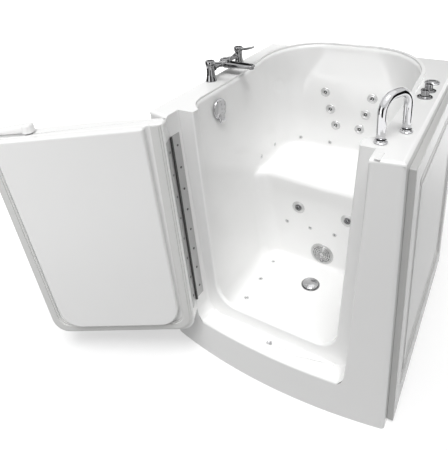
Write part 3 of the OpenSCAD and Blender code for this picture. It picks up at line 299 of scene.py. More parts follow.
def edge_room(edge, crisp):
    """How far a rounding can reach into the two faces beside an edge."""
    room = []
    for corner in edge.link_loops:
        start, end = corner.vert.co, corner.link_loop_next.vert.co
        way = (end - start).normalized()
        inward = corner.face.normal.cross(way)
        for part in ALONG_EDGE:
            spot = start.lerp(end, part)
            for other in corner.face.edges:
                one, two = (v.co - spot for v in other.verts)
                before, after = one.dot(way), two.dot(way)
                if other is edge or before * after > 0 or before == after:
                    continue
                reach = one.lerp(two, before / (before - after)).dot(inward)
                if reach > LEAST_ROOM:
                    room.append(reach)
    for vert in edge.verts:
        for side in vert.link_edges:
            if side in crisp or not set(side.link_faces) & set(edge.link_faces):
                continue
            start, end = (v.co for v in edge.verts)
            way = (end - start).normalized()
            reach = side.other_vert(vert).co - vert.co
            room.append((reach - way * reach.dot(way)).length)
    return min(room)


def even_shading(piece):
    shading = piece.modifiers.new("shading", "WEIGHTED_NORMAL")
    shading.keep_sharp = True


def moulded(node, finish, body, radius, angle=28, segments=4, shape=None, clamp=True,
            choose=None):
    """A moulded piece of the node's form, each edge rounded as far as its faces have room."""
    bm = bmesh.new()
    bm.from_mesh(nodes[node].data)
    bmesh.ops.remove_doubles(bm, verts=bm.verts, dist=2e-5)
    bmesh.ops.dissolve_limit(bm, angle_limit=math.radians(0.6), use_dissolve_boundaries=False,
                             verts=bm.verts, edges=bm.edges, delimit={"NORMAL"})
    if shape:
        shape(bm)
    bm.normal_update()
    weight = bm.edges.layers.float.new("bevel_weight_edge")
    crisp = {edge for edge in bm.edges
             if len(edge.link_faces) == 2 and edge.calc_face_angle(0) > math.radians(angle)}
    for edge in crisp:
        one, two = (v.co for v in edge.verts)
        way = choose((one + two) / 2, two - one) if choose else "round"
        if way != "round":
            edge.smooth = way == "soft"
            continue
        edge[weight] = min(1.0, ROOM_SHARE * edge_room(edge, crisp) / radius)
    piece = mesh_object(node + "_moulding", bm, finish, body)
    bevel = piece.modifiers.new("edges", "BEVEL")
    bevel.width = radius
    bevel.segments = segments
    bevel.limit_method = "WEIGHT"
    bevel.use_clamp_overlap = clamp
    bevel.miter_outer = "MITER_ARC"
    even_shading(piece)
    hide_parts(node)


def soften(piece, radius, angle):
    """Rounds the crisp edges of a piece a little."""
    bevel = piece.modifiers.new("edges", "BEVEL")
    bevel.width = radius
    bevel.segments = 2
    bevel.limit_method = "ANGLE"
    bevel.angle_limit = math.radians(angle)
    even_shading(piece)


def fitting(name, bm, finish, body, node=None, edge=0.35, angle=32):
    """Turns a finished form into a piece; it may stand for a node."""
    bmesh.ops.remove_doubles(bm, verts=bm.verts, dist=2e-6)
    piece = mesh_object(name, bm, finish, body)
    if edge:
        soften(piece, edge * MM, angle)
    if node:
        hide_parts(node)


def turned(bm, outline, frame_at, sides=48, flutes=0, flute_depth=0.0, flute_from=0.0):
    """Turns an outline of (radius, height) points, in millimetres, about the Z axis of frame_at."""
    closed = outline[0] == outline[-1]
    points = outline[:-1] if closed else outline
    verts = [bm.verts.new(Vector((r * MM, 0, z * MM))) for r, z in points]
    edges = [bm.edges.new(pair) for pair in zip(verts, verts[1:])]
    if closed:
        edges.append(bm.edges.new((verts[-1], verts[0])))
    known = set(bm.verts) - set(verts)
    bmesh.ops.spin(bm, geom=verts + edges, cent=(0, 0, 0), axis=(0, 0, 1), dvec=(0, 0, 0),
                   angle=2 * math.pi, steps=sides, use_merge=True, use_duplicate=False)
    for vert in [v for v in bm.verts if v not in known]:
        reach = math.hypot(vert.co.x, vert.co.y)
        if flutes and reach > flute_from * MM:
            turn = math.atan2(vert.co.y, vert.co.x)
            grow = 1 - flute_depth * MM / reach * (0.5 - 0.5 * math.cos(flutes * turn))
            vert.co.x *= grow
            vert.co.y *= grow
        vert.co = frame_at @ vert.co


def ring(bm, centre, u, v, sides=20, power=2.0):
    """One ring of a lofted form on the half-axes u and v; a power above 2 makes it boxier."""
    verts = bmesh.ops.create_circle(bm, cap_ends=False, radius=1.0, segments=sides)["verts"]
    edges = list({edge for vert in verts for edge in vert.link_edges})
    for vert in verts:
        turn = math.atan2(vert.co.y, vert.co.x)
        ca, sa = math.cos(turn), math.sin(turn)
        vert.co = (centre + u * math.copysign(abs(ca) ** (2 / power), ca)
                   + v * math.copysign(abs(sa) ** (2 / power), sa))
    return edges


def loft(bm, loops):
    """Bridges rings one after another and closes both ends."""
    for one, two in zip(loops, loops[1:]):
        bmesh.ops.bridge_loops(bm, edges=one + two)
    for end in (loops[0], loops[-1]):
        bmesh.ops.edgeloop_fill(bm, edges=end)


def sweep(bm, points, radius, sides):
    """A round bar along a smooth path of points in metres."""
    loops = []
    side = None
    for i, point in enumerate(points):
        way = (points[min(i + 1, len(points) - 1)] - points[max(i - 1, 0)]).normalized()
        side = way.orthogonal() if side is None else side - way * side.dot(way)
        side.normalize()
        loops.append(ring(bm, point, side * radius, way.cross(side) * radius, sides))
    loft(bm, loops)


def facing(point, out, down=(0, 0, -1)):
    """A place on a wall: local Z points out of the wall, local X points down it."""
    z = Vector(out).normalized()
    x = Vector(down) - z * Vector(down).dot(z)
    x.normalize()
    y = z.cross(x)
    return Matrix.Translation(point) @ Matrix((x, y, z)).transposed().to_4x4()


def facing_front(x, y, z):
    return facing(place(x, y, z), (0, -1, 0))


def on_deck(x, y):
    return Matrix.Translation(place(x, y, DECK_Z))


# ------------------------------------------------------------------ bowl (millimetres)
WALL_Y, RISER_Y, REST_Y = 60, 505, 796
SEAT_Z, FLOOR_Z, LEAN_Z = 508, 95, 800
FRONT_HALF, SEAT_HALF = 316, 300         # half the width at the front wall and at the seat
DECK_SPREAD, FLOOR_SPREAD = 16, 38       # what it gains up to the deck and loses down to the floor
NOSE_R, WELL_R, FRONT_R = 28, 74, 110    # front edge of the seat, and corners of the foot well
SEAT_CORNER, LEAN_CORNER, DECK_CORNER = 115, 17, 96
LEAN_DEEP, LEAN_SLOPE = 54, 0.327
SILL_Z, SILL_R = 190, 80
SIDE_END = 394.5                         # how far back the side columns run
SKIN_GAP = 0.7
CLEAR = 0.6 * MM                         # least distance of the lining from the shell, metres
UPPER_ROWS, BEND_ROWS, SEAT_ROWS, NOSE_ROWS, RISER_ROWS, FOOT_ROWS = 26, 7, 10, 8, 20, 8
CORNER_STEPS, SIDE_STEPS, ROUND_STEPS = 7, 16, 48


def ease(t):
    t = min(max(t, 0.0), 1.0)
    return t * t * (3 - 2 * t)


def rounded_off(slope, reach, off):
    """What a change of slope loses when it is rounded over a reach to either side."""
    return slope * reach / 4 * max(0.0, 1 - abs(off) / reach) ** 2


def half_width(z):
    """Half the width of the bowl at a height, with the change of slope at the seat rounded."""
    upper = SEAT_HALF + DECK_SPREAD * (z - SEAT_Z) / (DECK_Z - SEAT_Z)
    lower = SEAT_HALF + FLOOR_SPREAD * (z - SEAT_Z) / (SEAT_Z - FLOOR_Z)
    soft = rounded_off(0.057, 60, z - SEAT_Z)
    return (upper if z > SEAT_Z else lower) - soft - SKIN_GAP


def rest_line(z):
    """How far back the backrest is at a height; its lean starts and ends in a slow curve."""
    lean_high = DECK_Z - LEAN_Z
    lean = min(max(0.0, z - LEAN_Z), lean_high) * LEAN_DEEP / lean_high
    curve = rounded_off(LEAN_SLOPE, 50, z - LEAN_Z)
    end = rounded_off(LEAN_SLOPE, 34, z - DECK_Z)
    ahead = 4.2 * ease((z - 655) / 90) * (1 - ease((z - 860) / 80))
    return REST_Y + lean + curve - end - ahead - SKIN_GAP


def back_corner(z):
    """Radius of the bowl's back corners: tight at the seat, wide at the deck."""
    rise = LEAN_Z - SEAT_Z
    return (SEAT_CORNER + LEAN_CORNER * min(max(z - SEAT_Z, 0), rise) / rise
            + DECK_CORNER * ease((z - LEAN_Z) / (DECK_Z - LEAN_Z)))


def doorway_edge(z, side):
    """How far the doorway reaches from the middle at a height, on the left (-1) or the right."""
    reach = 263 - 0.038 * (DECK_Z - z) if side < 0 else 277 - 0.066 * (DECK_Z - z)
    if z < SILL_Z:
        return 0.0
    if z < SILL_Z + SILL_R:
        reach += math.sqrt(SILL_R ** 2 - (SILL_Z + SILL_R - z) ** 2) - SILL_R
    return reach + 5


def wall_point(hw, back, corner, part, share, z, side):
    """A place on the wall's plan and the direction into the bowl.

    The part is the front corner, the side, or the way round to the middle of the back.
    """
    if part == "corner":
        most = (FRONT_HALF - FRONT_R - doorway_edge(z, side)) / FRONT_R
        open_turn = min(math.radians(72), math.acos(min(max(-most, -1.0), 1.0)))
        a = math.pi + open_turn * (1 - share)
        x = max(-FRONT_HALF + SKIN_GAP + FRONT_R + FRONT_R * math.cos(a), -hw)
        return x, WALL_Y + SKIN_GAP + FRONT_R + FRONT_R * math.sin(a), -math.cos(a), -math.sin(a)
    if part == "side":
        return -hw, share, 1.0, 0.0
    straight = back - corner - SIDE_END
    turn = corner * math.pi / 2
    along = (straight + turn + hw - corner) * share
    if along < straight:
        return -hw, SIDE_END + along, 1.0, 0.0
    if along < straight + turn:
        a = math.pi - (along - straight) / corner
        return (-hw + corner + corner * math.cos(a), back - corner + corner * math.sin(a),
                -math.cos(a), -math.sin(a))
    return -hw + corner + along - straight - turn, back, 0.0, -1.0


def bowl_columns():
    """Where each column of the bowl runs, from the front left corner to the middle of the back."""
    start = WALL_Y + SKIN_GAP + FRONT_R
    columns = [("corner", i / CORNER_STEPS) for i in range(CORNER_STEPS)]
    columns += [("side", start + (SIDE_END - start) * i / SIDE_STEPS) for i in range(SIDE_STEPS)]
    columns += [("round", 0.72 * i / ROUND_STEPS + 0.28 * (i / ROUND_STEPS) ** 2)
                for i in range(ROUND_STEPS + 1)]
    return columns


def bowl_profile(part, share, side, rim):
    """One column's way from the deck down the wall, over the seat, down the riser and the floor."""
    fillet, nose = 34.0, float(NOSE_R)

    def high(z):
        return wall_point(half_width(z), rest_line(z), back_corner(z), part, share, z, side)

    def low(z):
        px, py, nx, ny = wall_point(half_width(z), RISER_Y - SKIN_GAP, WELL_R, part, share, z, side)
        if ny < -0.5:
            py -= 9 * (1 - min(1.0, abs(px) / 250) ** 2) * ease((z - 402) / 78)
        return px, py, nx, ny

    ax, ay = high(SEAT_Z + fillet)[:2]
    bx, by = low(SEAT_Z - nose)[:2]
    gap = math.hypot(bx - ax, by - ay)
    held = ease(gap / 90)
    ux, uy = ((bx - ax) / gap, (by - ay) / gap) if gap > 0.01 else (1.0, 0.0)
    first, last = min(fillet, gap * 0.45), min(nose, gap * 0.4)
    edge_x, edge_y = high(DECK_Z)[:2]
    top_z = rim(edge_x, edge_y) - 7.5
    path = []
    for i in range(UPPER_ROWS):
        z = top_z + (SEAT_Z + fillet - top_z) * i / UPPER_ROWS
        path.append((*high(z)[:2], z))
    total = BEND_ROWS + SEAT_ROWS + NOSE_ROWS
    for i in range(total + 1):
        even = SEAT_Z + fillet - (fillet + nose) * i / total
        if i < BEND_ROWS:
            a = math.pi / 2 * i / BEND_ROWS
            away, z = first * (1 - math.cos(a)), SEAT_Z + fillet * (1 - math.sin(a))
        elif i < BEND_ROWS + SEAT_ROWS:
            t = (i - BEND_ROWS) / SEAT_ROWS
            away, z = first + (gap - first - last) * t, SEAT_Z
        else:
            a = math.pi / 2 * (i - BEND_ROWS - SEAT_ROWS) / NOSE_ROWS
            away, z = gap - last + last * math.sin(a), SEAT_Z - nose * (1 - math.cos(a))
        plain = gap * i / total
        away = away * held + plain * (1 - held)
        path.append((ax + ux * away, ay + uy * away,
                     z * held + even * (1 - held) + SKIN_GAP * held))
    nx, ny = low(200)[2:]
    bend = 52 - 30 * ease((-ny - 0.35) / 0.6)
    foot = FLOOR_Z + SKIN_GAP
    for i in range(1, RISER_ROWS):
        z = SEAT_Z - nose + (foot + bend - SEAT_Z + nose) * i / RISER_ROWS
        path.append((*low(z)[:2], z))
    ex, ey = low(foot + bend)[:2]
    for i in range(FOOT_ROWS + 1):
        a = math.pi / 2 * i / FOOT_ROWS
        path.append((ex + nx * bend * (1 - math.cos(a)), ey + ny * bend * (1 - math.cos(a)),
                     foot + bend * (1 - math.sin(a))))
    sx, sy = path[-1][:2]
    goal_y = min(max(sy, WALL_Y + 60), RISER_Y - WELL_R)
    for i in range(1, FOOT_ROWS + 1):
        t = i / FOOT_ROWS
        path.append((sx * (1 - t), sy + (goal_y - sy) * t, foot))
    return path


def make_bowl():
    """The smooth inner face of the bowl: walls, backrest, seat, riser and foot well."""
    rim_front_y, turn_x, turn_y = 440, 88, 622  # where the raised rim starts and curves about
    bm_shell = bmesh.new()
    bm_shell.from_mesh(nodes["tub_basin"].data)
    shell = BVHTree.FromBMesh(bm_shell)
    bm = bmesh.new()

    def rim(x, y):
        """Height of the rim just outside a place on the bowl's edge."""
        hit = None
        if y > rim_front_y:
            out = Vector((0, 1, 0))
            if abs(x) > turn_x:
                out = Vector((x - math.copysign(turn_x, x), max(y - turn_y, 0), 0))
            out.normalize()
            above = place(x + out.x * 6, y + out.y * 6, 1200)
            hit = shell.ray_cast(above, Vector((0, 0, -1)))[0]
        return max(hit.z / MM, DECK_Z) if hit else DECK_Z

    columns = bowl_columns()
    paths = [bowl_profile(*column, -1, rim) for column in columns]
    for column in reversed(columns[:-1]):
        paths.append([(-x, y, z) for x, y, z in bowl_profile(*column, 1, rim)])
    grid = [[bm.verts.new(place(*point)) for point in path] for path in paths]
    for one, two in zip(grid, grid[1:]):
        for i in range(len(one) - 1):
            bm.faces.new((one[i], one[i + 1], two[i + 1], two[i]))
    for vert in bm.verts:
        spot, normal = shell.find_nearest(vert.co, 0.03)[:2]
        if spot is not None:
            depth = (vert.co - spot).dot(normal)
            if depth < CLEAR:
                vert.co += normal * (CLEAR - depth)
    bm_shell.free()
    bmesh.ops.remove_doubles(bm, verts=bm.verts, dist=5e-5)
    bmesh.ops.smooth_vert(bm, verts=[v for v in bm.verts if not v.is_boundary], factor=0.3,
                          use_axis_x=True, use_axis_y=True, use_axis_z=True)
    piece = mesh_object("bowl_lining", bm, GELCOAT, "tub")
    thick = piece.modifiers.new("gauge", "SOLIDIFY")
    thick.thickness = 0.4 * MM
    thick.offset = 0.0


make_bowl()


# ------------------------------------------------------------------ tap
def make_tap():
    bm = bmesh.new()
    for y in LEVER_Y:
        turned(bm, [(0, -95), (9.4, -95), (10, -94), (10, -1), (10, 0.2), (21, 0.2), (21.4, 2),
                    (20.6, 5), (18.6, 12), (17, 20), (15.8, 30), (15.2, 42), (15.2, 52), (15.8, 57),
                    (16.8, 60), (17.2, 61.4), (17.2, 63.4), (0, 63.4)],
               on_deck(TAP_X, y), 48)
    fitting("tap_pillars", bm, TAP_CHROME_PAINTED_DARK, "tub", "tap_valves")

    bm = bmesh.new()
    bridge = place(TAP_X, SPOUT_Y, DECK_Z + 45)
    half = [(9.2, 40), (9.2, 66), (10, 74.6), (11.8, 75.4), (12.8, 77), (12.8, 82), (12.6, 84),
            (9, 84), (9, 91), (0, 91)]
    turned(bm, [(r, -z) for r, z in reversed(half)]
           + [(10.4, -34), (12.4, -33), (12.6, -27), (10.8, -26),
              (10.8, 26), (12.6, 27), (12.4, 33), (10.4, 34)] + half,
           Matrix.Translation(bridge) @ Matrix.Rotation(-math.pi / 2, 4, "X"), 40)
    turned(bm, [(0, 27), (14, 27), (18.6, 28.6), (21, 32.4), (21, 54), (19.4, 57.4), (14, 59.6),
                (6, 60), (0, 60)], on_deck(TAP_X, SPOUT_Y), 48)
    loops = []
    for x, wide, high, z in ((6, 21, 12, 36), (34, 20.6, 10.6, 36.4), (66, 20, 8.8, 37.4),
                             (96, 19.6, 7.4, 38.2), (116, 18, 6.4, 38.8), (125, 14.4, 5, 39.2),
                             (128.4, 9, 3, 39.6)):
        loops.append(ring(bm, place(TAP_X + x, SPOUT_Y, DECK_Z + z), Vector((0, wide * MM, 0)),
                          Vector((0, 0, high * MM)), 32, 4.5))
    loft(bm, loops)
    turned(bm, [(8.1, 28.6), (10.4, 28.6), (11, 29.4), (11, 36), (8.1, 36), (8.1, 28.6)],
           on_deck(-261, SPOUT_Y), 40)
    fitting("tap_bridge_spout", bm, TAP_CHROME_PAINTED_DARK, "tub", "tap_bridge")

    for node, y, body in zip(("lever_left", "lever_right"), LEVER_Y,
                             ("tap_lever_front", "tap_lever_rear")):
        bm = bmesh.new()
        turned(bm, [(0, 64.2), (16.4, 64.2), (17.8, 65.6), (18.2, 68), (18.2, 75.6), (17.2, 78),
                    (14.8, 79.3), (10.4, 79.6), (9.8, 78.8), (0, 78.8)], on_deck(TAP_X, y), 48)
        loops = []
        for x, wide, high, z in ((10, 8.4, 6, 71), (20, 7.4, 5.4, 71.2), (30, 7, 5, 71.6),
                                 (38, 8, 5, 72.8), (46, 10, 5, 74.8), (54, 11.4, 4.9, 77),
                                 (62, 11.6, 4.6, 79.4), (69, 10, 4, 81.6), (73, 6.6, 3, 82.8),
                                 (74.6, 3, 1.6, 83.2)):
            loops.append(ring(bm, place(TAP_X + x, y, DECK_Z + z), Vector((0, wide * MM, 0)),
                              Vector((-0.2 * high * MM, 0, high * MM)), 24, 2.6))
        loft(bm, loops)
        fitting(node + "_paddle", bm, TAP_CHROME_PAINTED_DARK, body, node)


make_tap()


# ------------------------------------------------------------------ grab bar
def make_grab_bar():
    bar_r, bend, top = 12.4 * MM, 43.4 * MM, 126.5 * MM
    one, two = (place(x, y, DECK_Z) for x, y in BAR_FEET)
    way = (two - one).normalized()
    up = Vector((0, 0, 1))
    points = [one + up * t for t in (7 * MM, 30 * MM, 55 * MM, 75 * MM)]
    for i in range(13):
        a = math.pi / 2 * i / 12
        points.append(one + up * (top - bend + bend * math.sin(a)) + way * bend * (1 - math.cos(a)))
    for i in range(13):
        a = math.pi / 2 * (1 - i / 12)
        points.append(two + up * (top - bend + bend * math.sin(a)) - way * bend * (1 - math.cos(a)))
    points += [two + up * t for t in (75 * MM, 55 * MM, 30 * MM, 7 * MM)]
    bm = bmesh.new()
    sweep(bm, points, bar_r, 36)
    for spot in (one, two):
        turned(bm, [(0, -24), (4.6, -24), (5, -23), (5, 7), (12, 7), (12, 9), (0, 9)],
               Matrix.Translation(spot), 24)
    fitting("grab_bar_arch", bm, CHROME, "tub", "grab_bar", edge=0)
    bm = bmesh.new()
    for x, y in BAR_FEET:
        turned(bm, [(12.7, 1), (17.6, 1), (18, 2), (18, 3.6), (17, 4.8), (15.6, 5.4), (15.2, 6.4),
                    (15.2, 8.4), (14.6, 9.6), (12.7, 10), (12.7, 1)], on_deck(x, y), 56)
    fitting("grab_bar_roses", bm, CHROME, "tub", "grab_bar_plates", edge=0.25)


make_grab_bar()


# ------------------------------------------------------------------ deck controls
def make_controls():
    bm = bmesh.new()
    turned(bm, [(21.4, 0.2), (26, 0.2), (26, 1.8), (25, 3.6), (23.2, 4.8), (21.8, 5), (21.4, 4.4),
                (21.4, 0.2)], on_deck(BUTTON_X, BUTTON_Y), 56)
    fitting("button_rim", bm, CHROME, "tub", "button_collar", edge=0.25)
    bm = bmesh.new()
    turned(bm, [(0, -8), (20, -8), (21, -7), (21, 3.6), (20.4, 5.4), (18.6, 7), (17.6, 7.2),
                (17, 6.6), (16, 6.6), (15.2, 7.6), (11, 9.4), (5, 10.3), (0, 10.5)],
           on_deck(BUTTON_X, BUTTON_Y), 56)
    fitting("button_dome", bm, TAP_CHROME_PAINTED_DARK, "push_button", "air_button", edge=0.2)
    bm = bmesh.new()
    for y in REGULATOR_Y:
        turned(bm, [(8.2, 0.2), (24.5, 0.2), (24.5, 1.8), (23.6, 3), (21, 3.6), (18, 3.8),
                    (17, 4.6), (16.8, 5.6), (16, 6), (8.2, 6), (8.2, 0.2)],
               on_deck(REGULATOR_X, y), 56)
    fitting("regulator_steps", bm, TAP_CHROME_PAINTED_DARK, "tub", "regulator_bases", edge=0.25)
    for node, y, body in zip(("regulator_front", "regulator_rear"), REGULATOR_Y,
                             ("air_knob_front", "air_knob_rear")):
        bm = bmesh.new()
        turned(bm, [(0, -8), (7.4, -8), (8, -7.4), (8, 6.5), (12.6, 6.5), (13, 7), (13, 21.6),
                    (12.2, 23.6), (10.8, 24.5), (10, 24.5), (9.6, 23.7), (0, 23.7)],
               on_deck(REGULATOR_X, y), 72, 18, 0.9, 12.4)
        fitting(node + "_knob", bm, TAP_CHROME_PAINTED_DARK, body, node, edge=0.2, angle=40)
        bm = bmesh.new()
        loops = []
        for z, wide, long in ((23.6, 1.9, 9), (25.2, 1.8, 8.8), (25.9, 1.2, 8)):
            loops.append(ring(bm, place(REGULATOR_X, y, DECK_Z + z), Vector((wide * MM, 0, 0)),
                              Vector((0, long * MM, 0)), 24, 4))
        loft(bm, loops)
        fitting(node + "_pointer", bm, DARK, body, edge=0.15)


make_controls()


# ------------------------------------------------------------------ jets
def make_jets():
    bm = bmesh.new()
    eyes = bmesh.new()
    for x, z in BACK_JETS:
        spot = facing_front(x, rest_line(z), z)
        turned(bm, [(0, -16), (9.4, -16), (9.4, -1.5), (10, -0.4), (22, -0.4), (22, 0.8),
                    (21.2, 1.8), (18.6, 2.4), (15.6, 2.2), (14.8, 1.2), (14, 1.2), (13.4, 2.2),
                    (12.4, 2.8), (9.2, 3), (8.4, 2.4), (7.8, 1.4), (7.4, -3), (0, -3)],
               spot, 72, 12, 0.8, 18.0)
        turned(eyes, [(0, -2.8), (7.2, -2.8), (7.2, 0.6), (6.4, 1.7), (4.2, 1.6), (3, 0.4),
                      (2.6, -1.6), (0, -1.6)], spot, 32)
    fitting("back_jet_rosettes", bm, JET, "tub", "back_jets", edge=0.2)
    fitting("back_jet_nozzles", eyes, DARK, "tub", edge=0)
    bm = bmesh.new()
    for x in (-RISER_JET_X, RISER_JET_X):
        turned(bm, [(15, 0.2), (29, 0.2), (29, 1.2), (27.6, 2.2), (25.4, 2.6), (23.6, 2.4),
                    (22.4, 3.4), (20.4, 4.2), (16.6, 4.4), (15.2, 3.8), (15, 3.2), (15, 0.2)],
               facing_front(x, RISER_Y, RISER_JET_Z), 96, 16, 1.0, 24.8)
    fitting("riser_jet_roses", bm, JET, "tub", "jet_rings", edge=0.2)
    ball_r, sunk = 14.6, 3
    for node, x, body in (("eye_left", -RISER_JET_X, "left_eye"),
                          ("eye_right", RISER_JET_X, "right_eye")):
        spot = facing_front(x, RISER_Y, RISER_JET_Z)
        outline = [(0, -16)]
        for a in range(-62, 1, 8):
            outline.append((ball_r * math.cos(math.radians(a)),
                            ball_r * math.sin(math.radians(a)) - sunk))
        outline += [(14.2, 0.2), (12.6, 4.2), (11.8, 4.4), (10.8, 2.8), (8.8, 2.8), (8.2, 4.6),
                    (7.6, 6.4), (6.8, 7.2), (5.6, 7.4), (5, 6.8), (4.8, -6), (0, -6)]
        bm = bmesh.new()
        turned(bm, outline, spot, 48)
        fitting(node + "_ball", bm, TAP_CHROME_PAINTED_DARK, body, node, edge=0.15)
        bm = bmesh.new()
        turned(bm, [(0, -5.8), (4.6, -5.8), (4.6, 5.8), (4.1, 6.2), (3.6, 5.8), (3.3, -3),
                    (0, -3)], spot, 24)
        fitting(node + "_bore", bm, DARK, body, edge=0)


def back_wall_spot(x, z):
    """A place on the back wall or its rounded corner, facing into the bowl."""
    r = back_corner(z)
    run = max(abs(x) - (half_width(z) - r), 0)
    deep = math.sqrt(r * r - run * run)
    out = Vector((-math.copysign(run, x), -deep, 0)) / r
    return facing(place(x, rest_line(z) - r + deep, z) + out * SKIN_GAP * MM, out)


def air_jet_places():
    wall_z, riser_z = 547, 277
    spots = [back_wall_spot(x, wall_z) for x in (-222, -80, 80, 222)]
    for side in (-1, 1):
        for y in (544, 673):
            spots.append(facing(place(side * half_width(wall_z), y, wall_z), (-side, 0, 0)))
    for x in (-163.5, -54.5, 54.5, 163.5):
        spots.append(facing_front(x, RISER_Y - SKIN_GAP, riser_z))
    for side in (-1, 1):
        for y in (192, 311, 430):
            spots.append(facing(place(side * 200, y, FLOOR_Z + SKIN_GAP), (0, 0, 1), (0, 1, 0)))
    return spots


def make_air_jets():
    bm = bmesh.new()
    holes = bmesh.new()
    for spot in air_jet_places():
        turned(bm, [(0, -7), (3.6, -7), (4, -6), (4, -0.6), (9, -0.6), (9, 0.9), (8.2, 1.7),
                    (6.6, 2.2), (5, 1.8), (4.2, 1.1), (3.4, 1.0), (3.1, -1), (0, -1)], spot, 32)
        turned(holes, [(0, -0.9), (3, -0.9), (3, 0.3), (2.4, 0.5), (0, 0.5)], spot, 20)
    fitting("air_jet_caps", bm, JET, "tub", "air_jets", edge=0)
    fitting("air_jet_holes", holes, GREY, "tub", edge=0)


make_jets()
make_air_jets()


# ------------------------------------------------------------------ suction cover
def make_suction():
    spot = facing_front(0, RISER_Y, SUCTION_Z)
    turn_only = spot.to_3x3()
    rim_r, bulge, ribs, rib_half = 44, 2.6, 12, 1.8
    bm = bmesh.new()
    turned(bm, [(rim_r, 0.3), (52, 0.3), (52, 1.6), (50.4, 2.8), (47, 3.4), (45, 4.4),
                (rim_r, 4.4), (rim_r, 0.3)], spot, 144, 36, 1.2, 48.5)
    for r in (40.5, 32.5, 24.5, 16.5):
        crown = 7.8 - (r / rim_r) ** 2 * bulge
        turned(bm, [(r - 2.3, crown - 4), (r + 2.3, crown - 4), (r + 2.3, crown - 0.8),
                    (r + 1.4, crown), (r - 1.4, crown), (r - 2.3, crown - 0.8),
                    (r - 2.3, crown - 4)], spot, 96)
    turned(bm, [(0, 2), (9.4, 2), (9.4, 6.6), (8, 7.6), (4, 7.8), (3.4, 7.2), (0, 7.2)], spot, 40)
    for i in range(ribs):
        turn = math.radians(360 // ribs * i + 15)
        out = Vector((math.cos(turn), math.sin(turn), 0))
        across = Vector((-math.sin(turn), math.cos(turn), 0))
        loops = []
        for r in (8, 18, 28, 38, 45):
            crown = 6.6 - (r / rim_r) ** 2 * bulge
            centre = spot @ (out * r * MM + Vector((0, 0, (crown - rib_half) * MM)))
            loops.append(ring(bm, centre, turn_only @ across * 1.5 * MM,
                              turn_only @ Vector((0, 0, rib_half * MM)), 12, 4))
        loft(bm, loops)
    fitting("suction_grille", bm, JET, "tub", "suction_cover", edge=0)
    bm = bmesh.new()
    turned(bm, [(0, 0.3), (45, 0.3), (45, 1.6), (43, 2.4), (0, 2.6)], spot, 64)
    fitting("suction_screen", bm, DARK, "tub", edge=0.2)
    bm = bmesh.new()
    turned(bm, [(0, 2), (10.5, 2), (10.5, 6.2), (9.6, 7.2), (7.6, 7.4), (7, 6.8), (3.4, 6.8),
                (2.6, 6), (0, 6)], spot @ Matrix.Translation((30 * MM, 0, 0)), 40)
    fitting("suction_fixing", bm, TAP_CHROME_PAINTED_DARK, "tub", edge=0.2)


make_suction()


# ------------------------------------------------------------------ waste and overflow
def make_waste():
    spot = Matrix.Translation(place(0, DRAIN_Y, FLOOR_Z))
    bm = bmesh.new()
    turned(bm, [(17, -20), (19, -20), (19, 0.2), (38, 0.2), (38, 1.2), (36.8, 2.3), (34.6, 2.6),
                (32.6, 1.8), (29, 1.2), (19.4, 0.8), (17, -2), (17, -20)], spot, 64)
    fitting("drain_ring", bm, TAP_CHROME_PAINTED_DARK, "tub", "drain_flange", edge=0.2)
    bm = bmesh.new()
    turned(bm, [(0, -20), (5.4, -20), (6, -19), (6, 2.4), (29.6, 2.4), (31, 2.8), (31.6, 3.8),
                (31, 5.4), (28.8, 7.2), (27.4, 7.6), (26.6, 7.2), (25.2, 8.2), (18, 10.9),
                (9, 12.4), (0, 12.8)], spot, 72)
    fitting("stopper_cap", bm, CHROME, "stopper", "drain_stopper", edge=0.25)

    wall = half_width(OVERFLOW_Z) + SKIN_GAP
    spot = facing(place(-wall, OVERFLOW_Y, OVERFLOW_Z), (1, 0, 0.035))
    bm = bmesh.new()
    turned(bm, [(0, -26), (5.4, -26), (6, -25), (6, 1.2), (28.4, 1.2), (29, 1.8), (29, 5),
                (37.6, 5), (39, 6), (39, 8.8), (38, 10.6), (35.6, 11.8), (33.8, 12), (32.8, 11.4),
                (31, 12), (20, 13.2), (0, 13.8)], spot, 72)
    loops = []
    for x, wide, high, z in ((16, 15, 2.6, 11.4), (24, 17.2, 4, 12), (34, 17.4, 5.6, 12.6),
                             (42, 16.6, 6.4, 13), (47.6, 15, 6, 13.2), (50.2, 12.6, 4.4, 13.2),
                             (51, 9.6, 2.4, 13.2)):
        centre = spot @ Vector((x * MM, 0, z * MM))
        loops.append(ring(bm, centre, spot.to_3x3() @ Vector((0, wide * MM, 0)),
                          spot.to_3x3() @ Vector((0, 0, high * MM)), 32, 3.2))
    loft(bm, loops)
    fitting("overflow_cap", bm, CHROME, "overflow_turn_plate", "overflow_knob", edge=0.3)

    sill_lean = math.atan(15 / 88)
    out = (0, -math.sin(sill_lean), math.cos(sill_lean))
    bm = bmesh.new()
    turned(bm, [(0, -6), (3.4, -6), (3.4, 0), (10, 0), (10, 1), (9.2, 1.9), (7.6, 2.1), (6.4, 1.4),
                (0, 1.2)], facing(place(0, 10, 141.4), out, (0, -1, 0)), 40)
    fitting("sill_drain_ring", bm, CHROME, "tub", "sill_drain", edge=0.15)


make_waste()


# ------------------------------------------------------------------ moulded shell
# Metres in the shared frame.
RECESS_FLOOR, SILL_TOP, JAMB_TOP, DECK_EDGE = 0.03, 0.3, 0.9, 0.955
FRONT_PART_Y = -0.39
SHORT_EDGE = 0.006


def shape_panel(bm):
    """Sinks the field of the side panel inside a broad sloping frame."""
    field = [f for f in bm.faces if f.normal.x > 0.9 and f.calc_area() > 0.2
             and 0.3 < f.calc_center_median().z < 0.65]
    for wide, deep in ((0.004, -0.0030), (0.030, 0.0026), (0.005, -0.0026)):
        bmesh.ops.inset_region(bm, faces=field, thickness=wide, depth=deep, use_even_offset=True)


